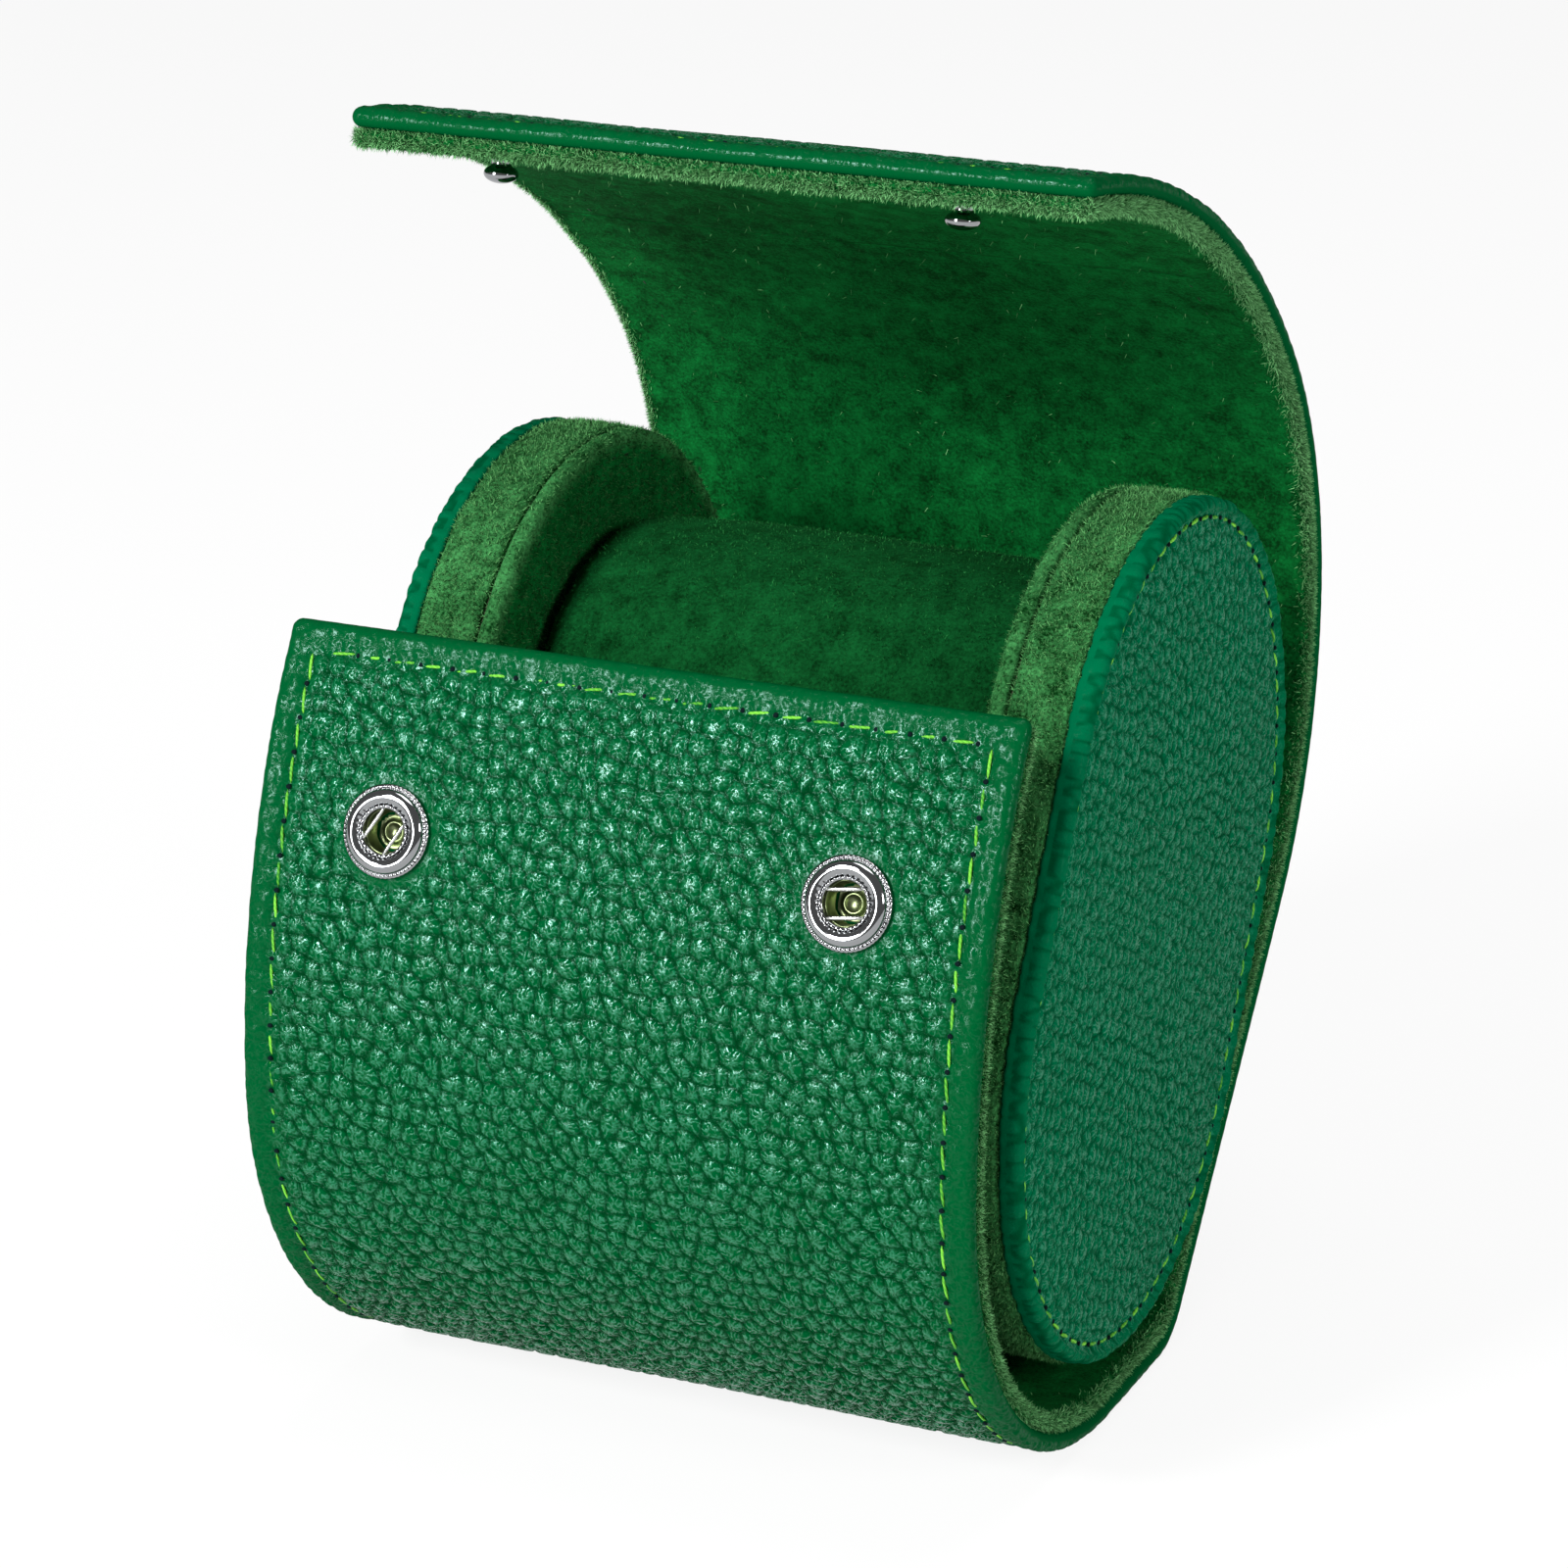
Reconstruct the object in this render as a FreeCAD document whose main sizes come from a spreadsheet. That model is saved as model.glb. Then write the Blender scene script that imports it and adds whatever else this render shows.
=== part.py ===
"""Watch roll: a curved leather strip with a snap flap round two end discs and a watch pillow.

X runs along the roll, Y away from the front panel, Z up. The origin is the middle of the
strip's flat resting length, on the surface that the roll stands on. Sizes are in millimetres.
"""
import FreeCAD, Part
import math
import os

SIZES = [
    # the strip: leather outside, board in the middle, suede lining inside
    ("strip_width", 84, "length of the roll, edge to edge"),
    ("leather_thick", 1.3, "outer leather"),
    ("board_thick", 0.9, "stiffening board under the leather"),
    ("lining_thick", 2.0, "padded suede lining"),
    ("edge_turn", 1.2, "leather folded round the board's edges"),
    ("lining_inset", 0.4, "cut edge of the lining inside the leather's edge"),
    ("bend_gap", 0.7, "gap between two sections of the strip at a bend line"),
    # the strip's outline, walked along its outer face from the panel's top edge to the flap's tip
    ("panel_radius", 89.7, "upper run of the front panel"),
    ("panel_length", 51.0, "upper run of the front panel"),
    ("front_room", 2.55, "front bend's lining off a disc of the same middle"),
    ("front_bend_run", 4.0, "part of that turn that belongs to the base"),
    ("rest_length", 16.1, "flat length that the roll stands on"),
    ("back_bend_radius", 9.0, "turn from the floor to the back run"),
    ("back_slope_deg", 50.6, "slope of the back run"),
    ("back_run", 45.2, "straight back run that carries the discs"),
    ("root_run", 4.0, "straight start of the flap"),
    ("root_radius", 52.0, "main curve of the flap"),
    ("root_turn_deg", 81.3, "main curve of the flap"),
    ("middle_radius", 97.8, "middle of the flap"),
    ("middle_length", 46.2, "middle of the flap"),
    ("tip_radius", 112.1, "front of the flap"),
    ("tip_length", 28.2, "front of the flap"),
    # the two snaps
    ("snap_spacing", 52.4, "between the two snaps, centre to centre"),
    ("socket_drop", 21.3, "socket centre below the panel's top edge"),
    ("stud_setback", 5.0, "stud centre behind the flap's front edge"),
    ("socket_diameter", 10.0, "socket cap"),
    ("socket_height", 1.3, "socket cap above the leather"),
    ("socket_rim", 0.5, "height of the socket cap's rim"),
    ("socket_crown", 6.8, "diameter of the socket cap's highest ring"),
    ("socket_bore", 4.8, "mouth that takes the stud"),
    ("spring_wire", 0.5, "diameter of a spring wire"),
    ("spring_gap", 3.0, "between the two spring wires, centre to centre"),
    ("spring_depth", 0.9, "wire centre below the socket's crown"),
    ("spring_bore", 6.0, "chamber for the wires inside the socket cap"),
    ("spring_room", 0.1, "play of the wires in their chamber"),
    ("eyelet_diameter", 5.0, "eyelet tube through leather and board"),
    ("eyelet_bore", 4.2, "hole in the eyelet tube, which takes the stud's head"),
    ("eyelet_flange", 8.0, "eyelet flange under the lining"),
    ("flange_thick", 0.4, "eyelet and rivet flanges"),
    ("fit_gap", 0.1, "room round a snap's tube in its hole, and under its flat flanges"),
    ("stud_diameter", 3.7, "stud head"),
    ("stud_neck", 2.0, "stud neck, which the spring wires clasp"),
    ("stud_height", 2.9, "stud above the lining"),
    ("stud_waist", 2.0, "widest part of the stud head above the lining"),
    ("stud_foot", 4.0, "stud foot plate on the lining"),
    ("stud_foot_thick", 0.3, "stud foot plate on the lining"),
    ("stud_bevel", 0.45, "rounding of the stud head"),
    ("rivet_diameter", 1.2, "rivet pin that holds the stud"),
    ("rivet_flange", 6.0, "rivet head under the leather"),
    # the two end discs
    ("disc_end_radius", 35.15, "round ends of a disc"),
    ("disc_straight", 25.0, "straight flanks of a disc"),
    ("disc_lean_deg", 28.4, "lean of the discs towards the back"),
    ("disc_bottom_gap", 3.75, "disc above the lining at the floor"),
    ("seat_gap", 0.3, "right disc off the lining of the back run"),
        ("right_disc_proud", 1.0, "right disc beyond the strip's edge"),
    ("left_disc_inset", 3.8, "left disc inside the strip's edge"),
    ("face_leather", 1.2, "leather on a disc's outer face and rim"),
    ("face_round", 0.9, "rounding of the leather's rim"),
    ("rim_turn", 2.8, "width of the leather round a disc's rim"),
    ("wall_width", 7.1, "width of the suede band round a disc"),
    ("wall_drop", 0.2, "suede band below the leather's rim"),
    ("inner_disc_thick", 2.1, "padded suede disc inside"),
    ("inner_disc_drop", 0.3, "padded suede disc below the leather's rim"),
    ("inner_disc_round", 0.7, "rolled edge of the padded suede disc"),
    # the pillow
    ("pillow_end_radius", 25.5, "round ends of the pillow's section"),
    ("pillow_straight", 15.0, "straight flanks of the pillow's section"),
    ("pillow_rise", 4.5, "pillow above the discs' middle, along their lean"),
    ("pillow_end_gap", 0.6, "free end of the pillow off the left disc"),
    ("pillow_crown", 0.8, "swell of the pillow at mid length"),
    ("pillow_shoulder", 3.0, "length of the pillow's rounded ends"),
    ("pillow_draw", 1.6, "pillow drawn in at its ends"),
    ("cover_thick", 1.0, "suede cover of the pillow"),
]

doc = FreeCAD.newDocument("watch_roll")
sheet = doc.addObject("Spreadsheet::Sheet", "sizes")
for row, (alias, value, note) in enumerate(SIZES, start=1):
    sheet.set(f"A{row}", alias)
    sheet.set(f"B{row}", str(value))
    sheet.set(f"C{row}", note)
    sheet.setAlias(f"B{row}", alias)
doc.recompute()

nodes = []


def size(alias):
    """The value of one cell of the sheet."""
    return float(sheet.get(alias))


def named(thing, label):
    """Give a finished sub-part its label, which is its file's name."""
    thing.Label = label
    nodes.append(thing)
    return thing


# Depths below the strip's outer face, and the quarter turn from the panel to the floor round the discs
board_top = size("leather_thick")
lining_top = size("leather_thick") + size("board_thick")
strip_thick = lining_top + size("lining_thick")
front_bend_radius = size("disc_end_radius") + size("front_room") + strip_thick

# The strip's outline: a walk along its outer face, always turning towards the inside


class Stretch:
    """One straight or round stretch of the strip; heading is in radians, the inside is to the left."""

    def __init__(self, start, heading, length, radius=None):
        self.start = start
        self.heading = heading
        self.length = length
        self.radius = radius

    def point(self, along, depth):
        """The point at a length along the outer face and a depth below it."""
        turn = along / self.radius if self.radius else 0.0
        heading = self.heading + turn
        inward = (-math.sin(heading), math.cos(heading))
        if self.radius:
            reach = self.radius
            y = self.start[0] + reach * (math.sin(heading) - math.sin(self.heading))
            z = self.start[1] + reach * (math.cos(self.heading) - math.cos(heading))
        else:
            y = self.start[0] + along * math.cos(heading)
            z = self.start[1] + along * math.sin(heading)
        return FreeCAD.Vector(y + depth * inward[0], z + depth * inward[1], 0)

    def end_heading(self):
        return self.heading + (self.length / self.radius if self.radius else 0.0)


def walk_strip():
    """All stretches of the strip in order, with the resting length centred on the origin."""
    quarter = math.pi / 2
    back_slope = math.radians(size("back_slope_deg"))
    root_turn = math.radians(size("root_turn_deg"))
    front_bend = front_bend_radius * quarter
    plan = [
        ("panel_upper", size("panel_length"), size("panel_radius")),
        ("panel_lower", front_bend - size("front_bend_run"), front_bend_radius),
        ("base_front", size("front_bend_run"), front_bend_radius),
        ("base_rest", size("rest_length"), None),
        ("base_bend", size("back_bend_radius") * back_slope, size("back_bend_radius")),
        ("base_back", size("back_run"), None),
        ("root_run", size("root_run"), None),
        ("root_curve", size("root_radius") * root_turn, size("root_radius")),
        ("middle", size("middle_length"), size("middle_radius")),
        ("tip", size("tip_length"), size("tip_radius")),
    ]
    heading = -quarter - size("panel_length") / size("panel_radius")
    point = FreeCAD.Vector(0, 0, 0)
    stretches = {}
    for name, length, radius in plan:
        stretches[name] = Stretch((point.x, point.y), heading, length, radius)
        point = stretches[name].point(length, 0)
        heading = stretches[name].end_heading()
    rest_middle = stretches["base_rest"].point(size("rest_length") / 2, 0)
    for stretch in stretches.values():
        stretch.start = (stretch.start[0] - rest_middle.x, stretch.start[1] - rest_middle.y)
    return stretches


strip = walk_strip()


def band_outline(names, outer, inner, start_trim, end_trim):
    """Lines and arcs round the band between two depths along the named stretches."""
    forward = []
    backward = []
    for index, name in enumerate(names):
        stretch = strip[name]
        low = start_trim if index == 0 else 0.0
        high = stretch.length - (end_trim if index == len(names) - 1 else 0.0)
        middle = (low + high) / 2
        for depth, edges in ((outer, forward), (inner, backward)):
            a = stretch.point(low, depth)
            b = stretch.point(high, depth)
            if stretch.radius:
                edges.append(Part.Arc(a, stretch.point(middle, depth), b))
            else:
                edges.append(Part.LineSegment(a, b))
    first, last = strip[names[0]], strip[names[-1]]
    start_line = Part.LineSegment(first.point(start_trim, inner), first.point(start_trim, outer))
    end_at = last.length - end_trim
    end_line = Part.LineSegment(last.point(end_at, outer), last.point(end_at, inner))
    return forward + [end_line] + backward[::-1] + [start_line]


def sketch_across(body, name, outline):
    """A sketch of lines and arcs in the body's YZ plane."""
    sketch = body.newObject("Sketcher::SketchObject", name)
    plane = [f for f in body.Origin.OriginFeatures if f.Role == "YZ_Plane"][0]
    sketch.AttachmentSupport = (plane, [""])
    sketch.MapMode = "FlatFace"
    sketch.addGeometry(outline, False)
    return sketch


def symmetric_pad(body, name, outline, width):
    """Pad an outline to both sides of the YZ plane; width is an expression of the sheet."""
    pad = body.newObject("PartDesign::Pad", name + "_pad")
    pad.Profile = sketch_across(body, name + "_outline", outline)
    pad.Midplane = True
    pad.setExpression("Length", width)
    return pad


def strip_section(label, names, free_start=False, free_end=False):
    """Leather with turned edges, board and lining of one section of the strip."""
    joint = size("bend_gap") / 2
    turn = size("edge_turn")
    start, end = (0.0 if free_start else joint), (0.0 if free_end else joint)
    board_start, board_end = (turn if free_start else joint), (turn if free_end else joint)
    inset = size("lining_inset")
    lining_start, lining_end = (inset if free_start else joint), (inset if free_end else joint)

    leather = doc.addObject("PartDesign::Body", label + "_leather_body")
    symmetric_pad(leather, label + "_leather", band_outline(names, 0.0, lining_top, start, end),
                  "sizes.strip_width")
    tray = leather.newObject("PartDesign::Pocket", label + "_leather_tray")
    tray.Profile = sketch_across(leather, label + "_tray_outline",
                                 band_outline(names, board_top, lining_top, board_start, board_end))
    tray.Midplane = True
    tray.setExpression("Length", "sizes.strip_width - 2 * sizes.edge_turn")

    board = doc.addObject("PartDesign::Body", label + "_board_body")
    symmetric_pad(board, label + "_board",
                  band_outline(names, board_top, lining_top, board_start, board_end),
                  "sizes.strip_width - 2 * sizes.edge_turn")

    lining = doc.addObject("PartDesign::Body", label + "_lining_body")
    symmetric_pad(lining, label + "_lining",
                  band_outline(names, lining_top, strip_thick, lining_start, lining_end),
                  "sizes.strip_width - 2 * sizes.lining_inset")
    return {"leather": leather, "board": board, "lining": lining}


# Snaps: each piece is made once on its own axis, placed on the right and mirrored to the left


def snap_seat(name, along, depth, outward):
    """Placement of a snap piece at a point of the strip, its own Z along the strip's normal."""
    stretch = strip[name]
    at = stretch.point(along, depth)
    heading = stretch.heading + (along / stretch.radius if stretch.radius else 0.0)
    normal = FreeCAD.Vector(0, -math.sin(heading), math.cos(heading))
    if outward:
        normal = normal.negative()
    turn = FreeCAD.Rotation(FreeCAD.Vector(0, 0, 1), normal)
    return FreeCAD.Placement(FreeCAD.Vector(size("snap_spacing") / 2, at.x, at.y), turn)


def turned_piece(name, profile, seat):
    """A body turned round its own Z axis from a closed profile of (radius, height) points."""
    body = doc.addObject("PartDesign::Body", name + "_body")
    sketch = body.newObject("Sketcher::SketchObject", name + "_profile")
    plane = [f for f in body.Origin.OriginFeatures if f.Role == "XZ_Plane"][0]
    sketch.AttachmentSupport = (plane, [""])
    sketch.MapMode = "FlatFace"
    points = [FreeCAD.Vector(r, z, 0) for r, z in profile]
    lines = [Part.LineSegment(a, b) for a, b in zip(points, points[1:] + points[:1])]
    sketch.addGeometry(lines, False)
    turned = body.newObject("PartDesign::Revolution", name + "_turned")
    turned.Profile = sketch
    turned.ReferenceAxis = (sketch, ["V_Axis"])
    turned.Angle = 360
    body.Placement = seat
    return body


def both_sides(name, pieces):
    """The right-hand pieces and their mirror images as one group of separate solids."""
    links = []
    for index, piece in enumerate(pieces):
        mirror = doc.addObject("Part::Mirroring", f"{name}_left_{index}")
        mirror.Source = piece
        mirror.Normal = FreeCAD.Vector(1, 0, 0)
        links += [piece, mirror]
    group = doc.addObject("Part::Compound", name)
    group.Links = links
    return group


def drill(name, seat, diameter, length):
    """Cylinders on both snap axes, to be cut out of a layer."""
    drills = []
    for side in (1, -1):
        cutter = doc.addObject("Part::Cylinder", f"{name}_drill")
        cutter.setExpression("Radius", f"({diameter}) / 2")
        cutter.setExpression("Height", length)
        place = seat.copy()
        place.Base.x = side * seat.Base.x
        cutter.Placement = place
        drills.append(cutter)
    pair = doc.addObject("Part::Compound", f"{name}_drills")
    pair.Links = drills
    return pair


def pierced(body, cutters, name):
    """A layer of the strip with the snap holes cut through it."""
    cut = doc.addObject("Part::Cut", name)
    cut.Base = body
    cut.Tool = cutters
    return cut


def make_sockets(panel):
    """Socket caps, their spring wires and the eyelets that hold them to the front panel."""
    cap_seat = snap_seat("panel_upper", size("socket_drop"), 0.0, outward=True)
    under = snap_seat("panel_upper", size("socket_drop"), strip_thick, outward=True)
    hole = "sizes.eyelet_diameter + 2 * sizes.fit_gap"
    recess = "sizes.eyelet_flange + 2 * sizes.fit_gap"
    through = "2 * sizes.leather_thick + 2 * sizes.board_thick + 2 * sizes.lining_thick"
    panel["leather"] = pierced(panel["leather"], drill("panel_leather", under, hole, through),
                               "front_panel_leather_pierced")
    panel["board"] = pierced(panel["board"], drill("panel_board", under, hole, through),
                             "front_panel_board_pierced")
    flange_room = "sizes.flange_thick + 2 * sizes.fit_gap"
    flange_seat = snap_seat("panel_upper", size("socket_drop"), lining_top, outward=False)
    panel["lining"] = pierced(panel["lining"], drill("panel_lining", flange_seat, recess, flange_room),
                              "front_panel_lining_recessed")

    rim, crown = size("socket_diameter") / 2, size("socket_crown") / 2
    bore, chamber = size("socket_bore") / 2, size("spring_bore") / 2
    tall, low = size("socket_height"), size("socket_rim")
    roof = tall - size("spring_depth") + size("spring_wire") / 2 + size("spring_room")
    cap = turned_piece("socket_cap", [
        (rim, 0.0), (rim, low), (crown, tall), (bore, tall), (bore, roof), (chamber, roof), (chamber, 0.0),
    ], cap_seat)

    wire = size("spring_wire") / 2
    wires = []
    half_chord = math.sqrt((chamber - size("spring_room")) ** 2 - (size("spring_gap") / 2 + wire) ** 2)
    chord = ("2 * sqrt((sizes.spring_bore / 2 - sizes.spring_room) ^ 2"
             " - (sizes.spring_gap / 2 + sizes.spring_wire / 2) ^ 2)")
    for side in (1, -1):
        rod = doc.addObject("Part::Cylinder", "spring_rod")
        rod.setExpression("Radius", "sizes.spring_wire / 2")
        rod.setExpression("Height", chord)
        height = tall - size("spring_depth")
        local = FreeCAD.Vector(side * size("spring_gap") / 2, -half_chord, height)
        lying = FreeCAD.Rotation(FreeCAD.Vector(0, 0, 1), FreeCAD.Vector(0, 1, 0))
        rod.Placement = cap_seat.multiply(FreeCAD.Placement(local, lying))
        wires.append(rod)

    tube, hollow = size("eyelet_diameter") / 2, size("eyelet_bore") / 2
    flange, thick = size("eyelet_flange") / 2, size("flange_thick")
    floor = lining_top + size("fit_gap")
    eyelet_seat = snap_seat("panel_upper", size("socket_drop"), floor, outward=True)
    spread = bore + (chamber - bore) / 2
    eyelet_top = floor + tall - size("spring_depth") - wire - size("spring_room")
    eyelet = turned_piece("socket_eyelet", [
        (hollow, -thick), (flange, -thick), (flange, 0.0), (tube, 0.0), (tube, floor), (spread, floor),
        (spread, (floor + eyelet_top) / 2), (tube, eyelet_top), (hollow, eyelet_top),
    ], eyelet_seat)
    named(both_sides("snap_sockets_pair", [cap]), "snap_sockets")
    named(both_sides("socket_springs_pair", wires), "socket_springs")
    named(both_sides("socket_eyelets_pair", [eyelet]), "socket_eyelets")


def make_studs(tip):
    """Studs on the flap's lining and the rivets that hold them."""
    along = strip["tip"].length - size("stud_setback")
    seat = snap_seat("tip", along, strip_thick + size("fit_gap"), outward=False)
    head_seat = snap_seat("tip", along, board_top + size("fit_gap"), outward=False)
    drill_seat = snap_seat("tip", along, 0.0, outward=False)
    pin_hole = "sizes.rivet_diameter + 2 * sizes.fit_gap"
    head_hole = "sizes.rivet_flange + 2 * sizes.fit_gap"
    through = "2 * sizes.leather_thick + 2 * sizes.board_thick + 2 * sizes.lining_thick"
    tip["board"] = pierced(tip["board"], drill("tip_board", drill_seat, head_hole, through),
                           "flap_tip_board_pierced")
    tip["lining"] = pierced(tip["lining"], drill("tip_lining", drill_seat, pin_hole, through),
                            "flap_tip_lining_pierced")
    head, neck = size("stud_diameter") / 2, size("stud_neck") / 2
    foot, plate = size("stud_foot") / 2, size("stud_foot_thick")
    tall, bevel, pin = size("stud_height"), size("stud_bevel"), size("rivet_diameter") / 2
    waist = size("stud_waist")
    stud = turned_piece("stud", [
        (pin, 0.0), (foot, 0.0), (foot, plate), (neck, plate), (neck, waist - bevel), (head, waist),
        (head, tall - bevel), (head - bevel, tall), (0.0, tall), (0.0, waist), (pin, waist),
    ], seat)
    flange = size("rivet_flange") / 2
    thick = size("flange_thick")
    pin_top = size("board_thick") + size("lining_thick") + waist
    rivet = turned_piece("rivet", [(0.0, 0.0), (flange, 0.0), (flange, thick), (pin, thick), (pin, pin_top),
                                   (0.0, pin_top)], head_seat)
    named(both_sides("snap_studs_pair", [stud]), "snap_studs")
    named(both_sides("stud_rivets_pair", [rivet]), "stud_rivets")


# End discs: stadium outlines that lean back, seated on the lining of the back run

lean = math.radians(size("disc_lean_deg"))
LONG_AXIS = FreeCAD.Vector(math.sin(lean), math.cos(lean), 0)
CROSS_AXIS = FreeCAD.Vector(math.cos(lean), -math.sin(lean), 0)


def disc_centre():
    """Middle of the discs: the lower end's arc clears the floor's lining and seats on the back run."""
    slope = math.radians(size("back_slope_deg"))
    inward = (-math.sin(slope), math.cos(slope))
    on_back = strip["base_back"].point(0.0, strip_thick)
    reach = size("disc_end_radius") + size("seat_gap")
    z = strip_thick + size("disc_bottom_gap") + size("disc_end_radius")
    y = on_back.x + (reach - (z - on_back.y) * inward[1]) / inward[0]
    return FreeCAD.Vector(y, z, 0) + LONG_AXIS * (size("disc_straight") / 2)


def stadium(centre, radius, straight):
    """Two straight flanks and two round ends, each end as two quarter arcs."""
    half = straight / 2
    top, bottom = centre + LONG_AXIS * half, centre - LONG_AXIS * half
    right, left, up = CROSS_AXIS * radius, CROSS_AXIS * -radius, LONG_AXIS * radius
    slant = math.sqrt(0.5)
    up_right = (CROSS_AXIS + LONG_AXIS) * (radius * slant)
    up_left = (LONG_AXIS - CROSS_AXIS) * (radius * slant)
    return [
        Part.LineSegment(bottom + right, top + right),
        Part.Arc(top + right, top + up_right, top + up),
        Part.Arc(top + up, top + up_left, top + left),
        Part.LineSegment(top + left, bottom + left),
        Part.Arc(bottom + left, bottom - up_right, bottom - up),
        Part.Arc(bottom - up, bottom - up_left, bottom + right),
    ]


def disc_layer(name, drop, depth, thick, side, face_x):
    """A stadium plate; drop is its outline inside the rim, depth its outer side behind the disc's face."""
    body = doc.addObject("PartDesign::Body", name + "_body")
    outline = stadium(disc_middle, size("disc_end_radius") - drop, size("disc_straight"))
    pad = body.newObject("PartDesign::Pad", name + "_pad")
    pad.Profile = sketch_across(body, name + "_outline", outline)
    pad.setExpression("Length", thick)
    pad.Reversed = side > 0
    body.Placement = FreeCAD.Placement(FreeCAD.Vector(face_x - side * depth, 0, 0), FreeCAD.Rotation())
    return body, pad


def hollowed(body, name, drop, start, side):
    """Cut the stadium that a layer goes round out of it, from a depth behind its own outer side."""
    pocket = body.newObject("PartDesign::Pocket", name + "_hollow")
    outline = stadium(disc_middle, size("disc_end_radius") - drop, size("disc_straight"))
    sketch = sketch_across(body, name + "_hollow_outline", outline)
    sketch.AttachmentOffset = FreeCAD.Placement(FreeCAD.Vector(0, 0, -side * start), FreeCAD.Rotation())
    pocket.Profile = sketch
    pocket.Reversed = side < 0
    return pocket


def rounded(body, feature, at_x, radius):
    """Round the rim edges that lie in one plane across X of the body."""
    doc.recompute()
    touch = size("fit_gap")
    rims = [f"Edge{i}" for i, edge in enumerate(feature.Shape.Edges, start=1)
            if all(abs(v.X - at_x) < touch for v in edge.Vertexes)]
    fillet = body.newObject("PartDesign::Fillet", body.Name + "_round")
    fillet.Base = (feature, rims)
    fillet.setExpression("Radius", radius)
    return fillet


def make_disc(label, side, face_x):
    """Leather face cap, core board, suede band and padded inner disc of one end."""
    leather = size("face_leather")
    cap, _ = disc_layer(label + "_face", 0.0, 0.0, "sizes.rim_turn", side, face_x)
    hollow = hollowed(cap, label + "_face", leather, leather, side)
    hollow.setExpression("Length", "sizes.rim_turn - sizes.face_leather")
    rounded(cap, hollow, 0.0, "sizes.face_round")
    named(cap, label + "_face_leather")

    core, _ = disc_layer(label + "_core", leather, leather,
                         "sizes.rim_turn + sizes.wall_width - sizes.face_leather", side, face_x)
    named(core, label + "_core_board")

    band, _ = disc_layer(label + "_band", size("wall_drop"), size("rim_turn"), "sizes.wall_width",
                         side, face_x)
    hollow = hollowed(band, label + "_band", leather, 0.0, side)
    hollow.setExpression("Length", "sizes.wall_width")
    named(band, label + "_suede_band")

    inner, pad = disc_layer(label + "_inner", size("inner_disc_drop"), size("rim_turn") + size("wall_width"),
                            "sizes.inner_disc_thick", side, face_x)
    rounded(inner, pad, -side * size("inner_disc_thick"), "sizes.inner_disc_round")
    named(inner, label + "_inner_suede")


# The pillow between the discs


def pillow_form(name, inset, start_x, end_x):
    """Stadium sections along X, drawn in at both ends and swelling at mid length."""
    centre = disc_middle + LONG_AXIS * size("pillow_rise")
    radius = size("pillow_end_radius") - inset
    shoulder = size("pillow_shoulder")
    stations = [
        (start_x, radius - size("pillow_draw")),
        (start_x + shoulder, radius),
        ((start_x + end_x) / 2, radius + size("pillow_crown")),
        (end_x - shoulder, radius),
        (end_x, radius - size("pillow_draw")),
    ]
    local_axes = (FreeCAD.Vector(0, 1, 0), FreeCAD.Vector(0, 0, 1), FreeCAD.Vector(1, 0, 0))
    across = FreeCAD.Rotation(*local_axes, "XYZ")
    sections = []
    for index, (x, round_end) in enumerate(stations):
        edges = [edge.toShape() for edge in stadium(centre, round_end, size("pillow_straight"))]
        section = doc.addObject("Part::Feature", f"{name}_section_{index}")
        section.Shape = Part.Wire(Part.__sortEdges__(edges))
        section.Placement = FreeCAD.Placement(FreeCAD.Vector(x, 0, 0), across)
        sections.append(section)
    loft = doc.addObject("Part::Loft", name)
    loft.Sections = sections
    loft.Solid = True
    return loft


def make_pillow(left_x, right_x):
    """Foam body and the suede cover drawn over it; the cover is open where it meets the right disc."""
    cover = size("cover_thick")
    foam = pillow_form("pillow_foam_form", cover, left_x + cover, right_x)
    skin = pillow_form("pillow_skin_form", 0.0, left_x, right_x)
    shell = doc.addObject("Part::Cut", "pillow_cover_shell")
    shell.Base = skin
    shell.Tool = foam
    named(shell, "pillow_cover")
    named(foam, "pillow_foam")


panel = strip_section("front_panel", ["panel_upper", "panel_lower"], free_start=True)
base = strip_section("base", ["base_front", "base_rest", "base_bend", "base_back"])
root = strip_section("flap_root", ["root_run", "root_curve"])
middle = strip_section("flap_middle", ["middle"])
tip = strip_section("flap_tip", ["tip"], free_end=True)
make_sockets(panel)
make_studs(tip)
for label, layers in (("front_panel", panel), ("base", base), ("flap_root", root), ("flap_middle", middle),
                      ("flap_tip", tip)):
    for layer, piece in layers.items():
        named(piece, f"{label}_{layer}")

disc_middle = disc_centre()
disc_thick = size("rim_turn") + size("wall_width") + size("inner_disc_thick")
right_face = size("strip_width") / 2 + size("right_disc_proud")
right_inside = right_face - disc_thick
left_face = size("left_disc_inset") - size("strip_width") / 2
left_inside = left_face + disc_thick
make_disc("right_disc", 1, right_face)
make_disc("left_disc", -1, left_face)
make_pillow(left_inside + size("pillow_end_gap"), right_inside)

doc.recompute()
for thing in doc.Objects:
    for fault in ("Invalid", "Error"):
        if fault in thing.State:
            raise RuntimeError(f"{thing.Label} is {thing.State}")
os.makedirs("parts", exist_ok=True)
for thing in nodes:
    if thing.Shape.isNull() or not thing.Shape.isValid():
        raise RuntimeError(f"{thing.Label} has no valid shape")
for thing in nodes:
    thing.Shape.exportStep(f"parts/{thing.Label}.step")
    print(thing.Label, len(thing.Shape.Solids), round(thing.Shape.Volume, 1))
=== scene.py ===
# %% [markdown]
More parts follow.
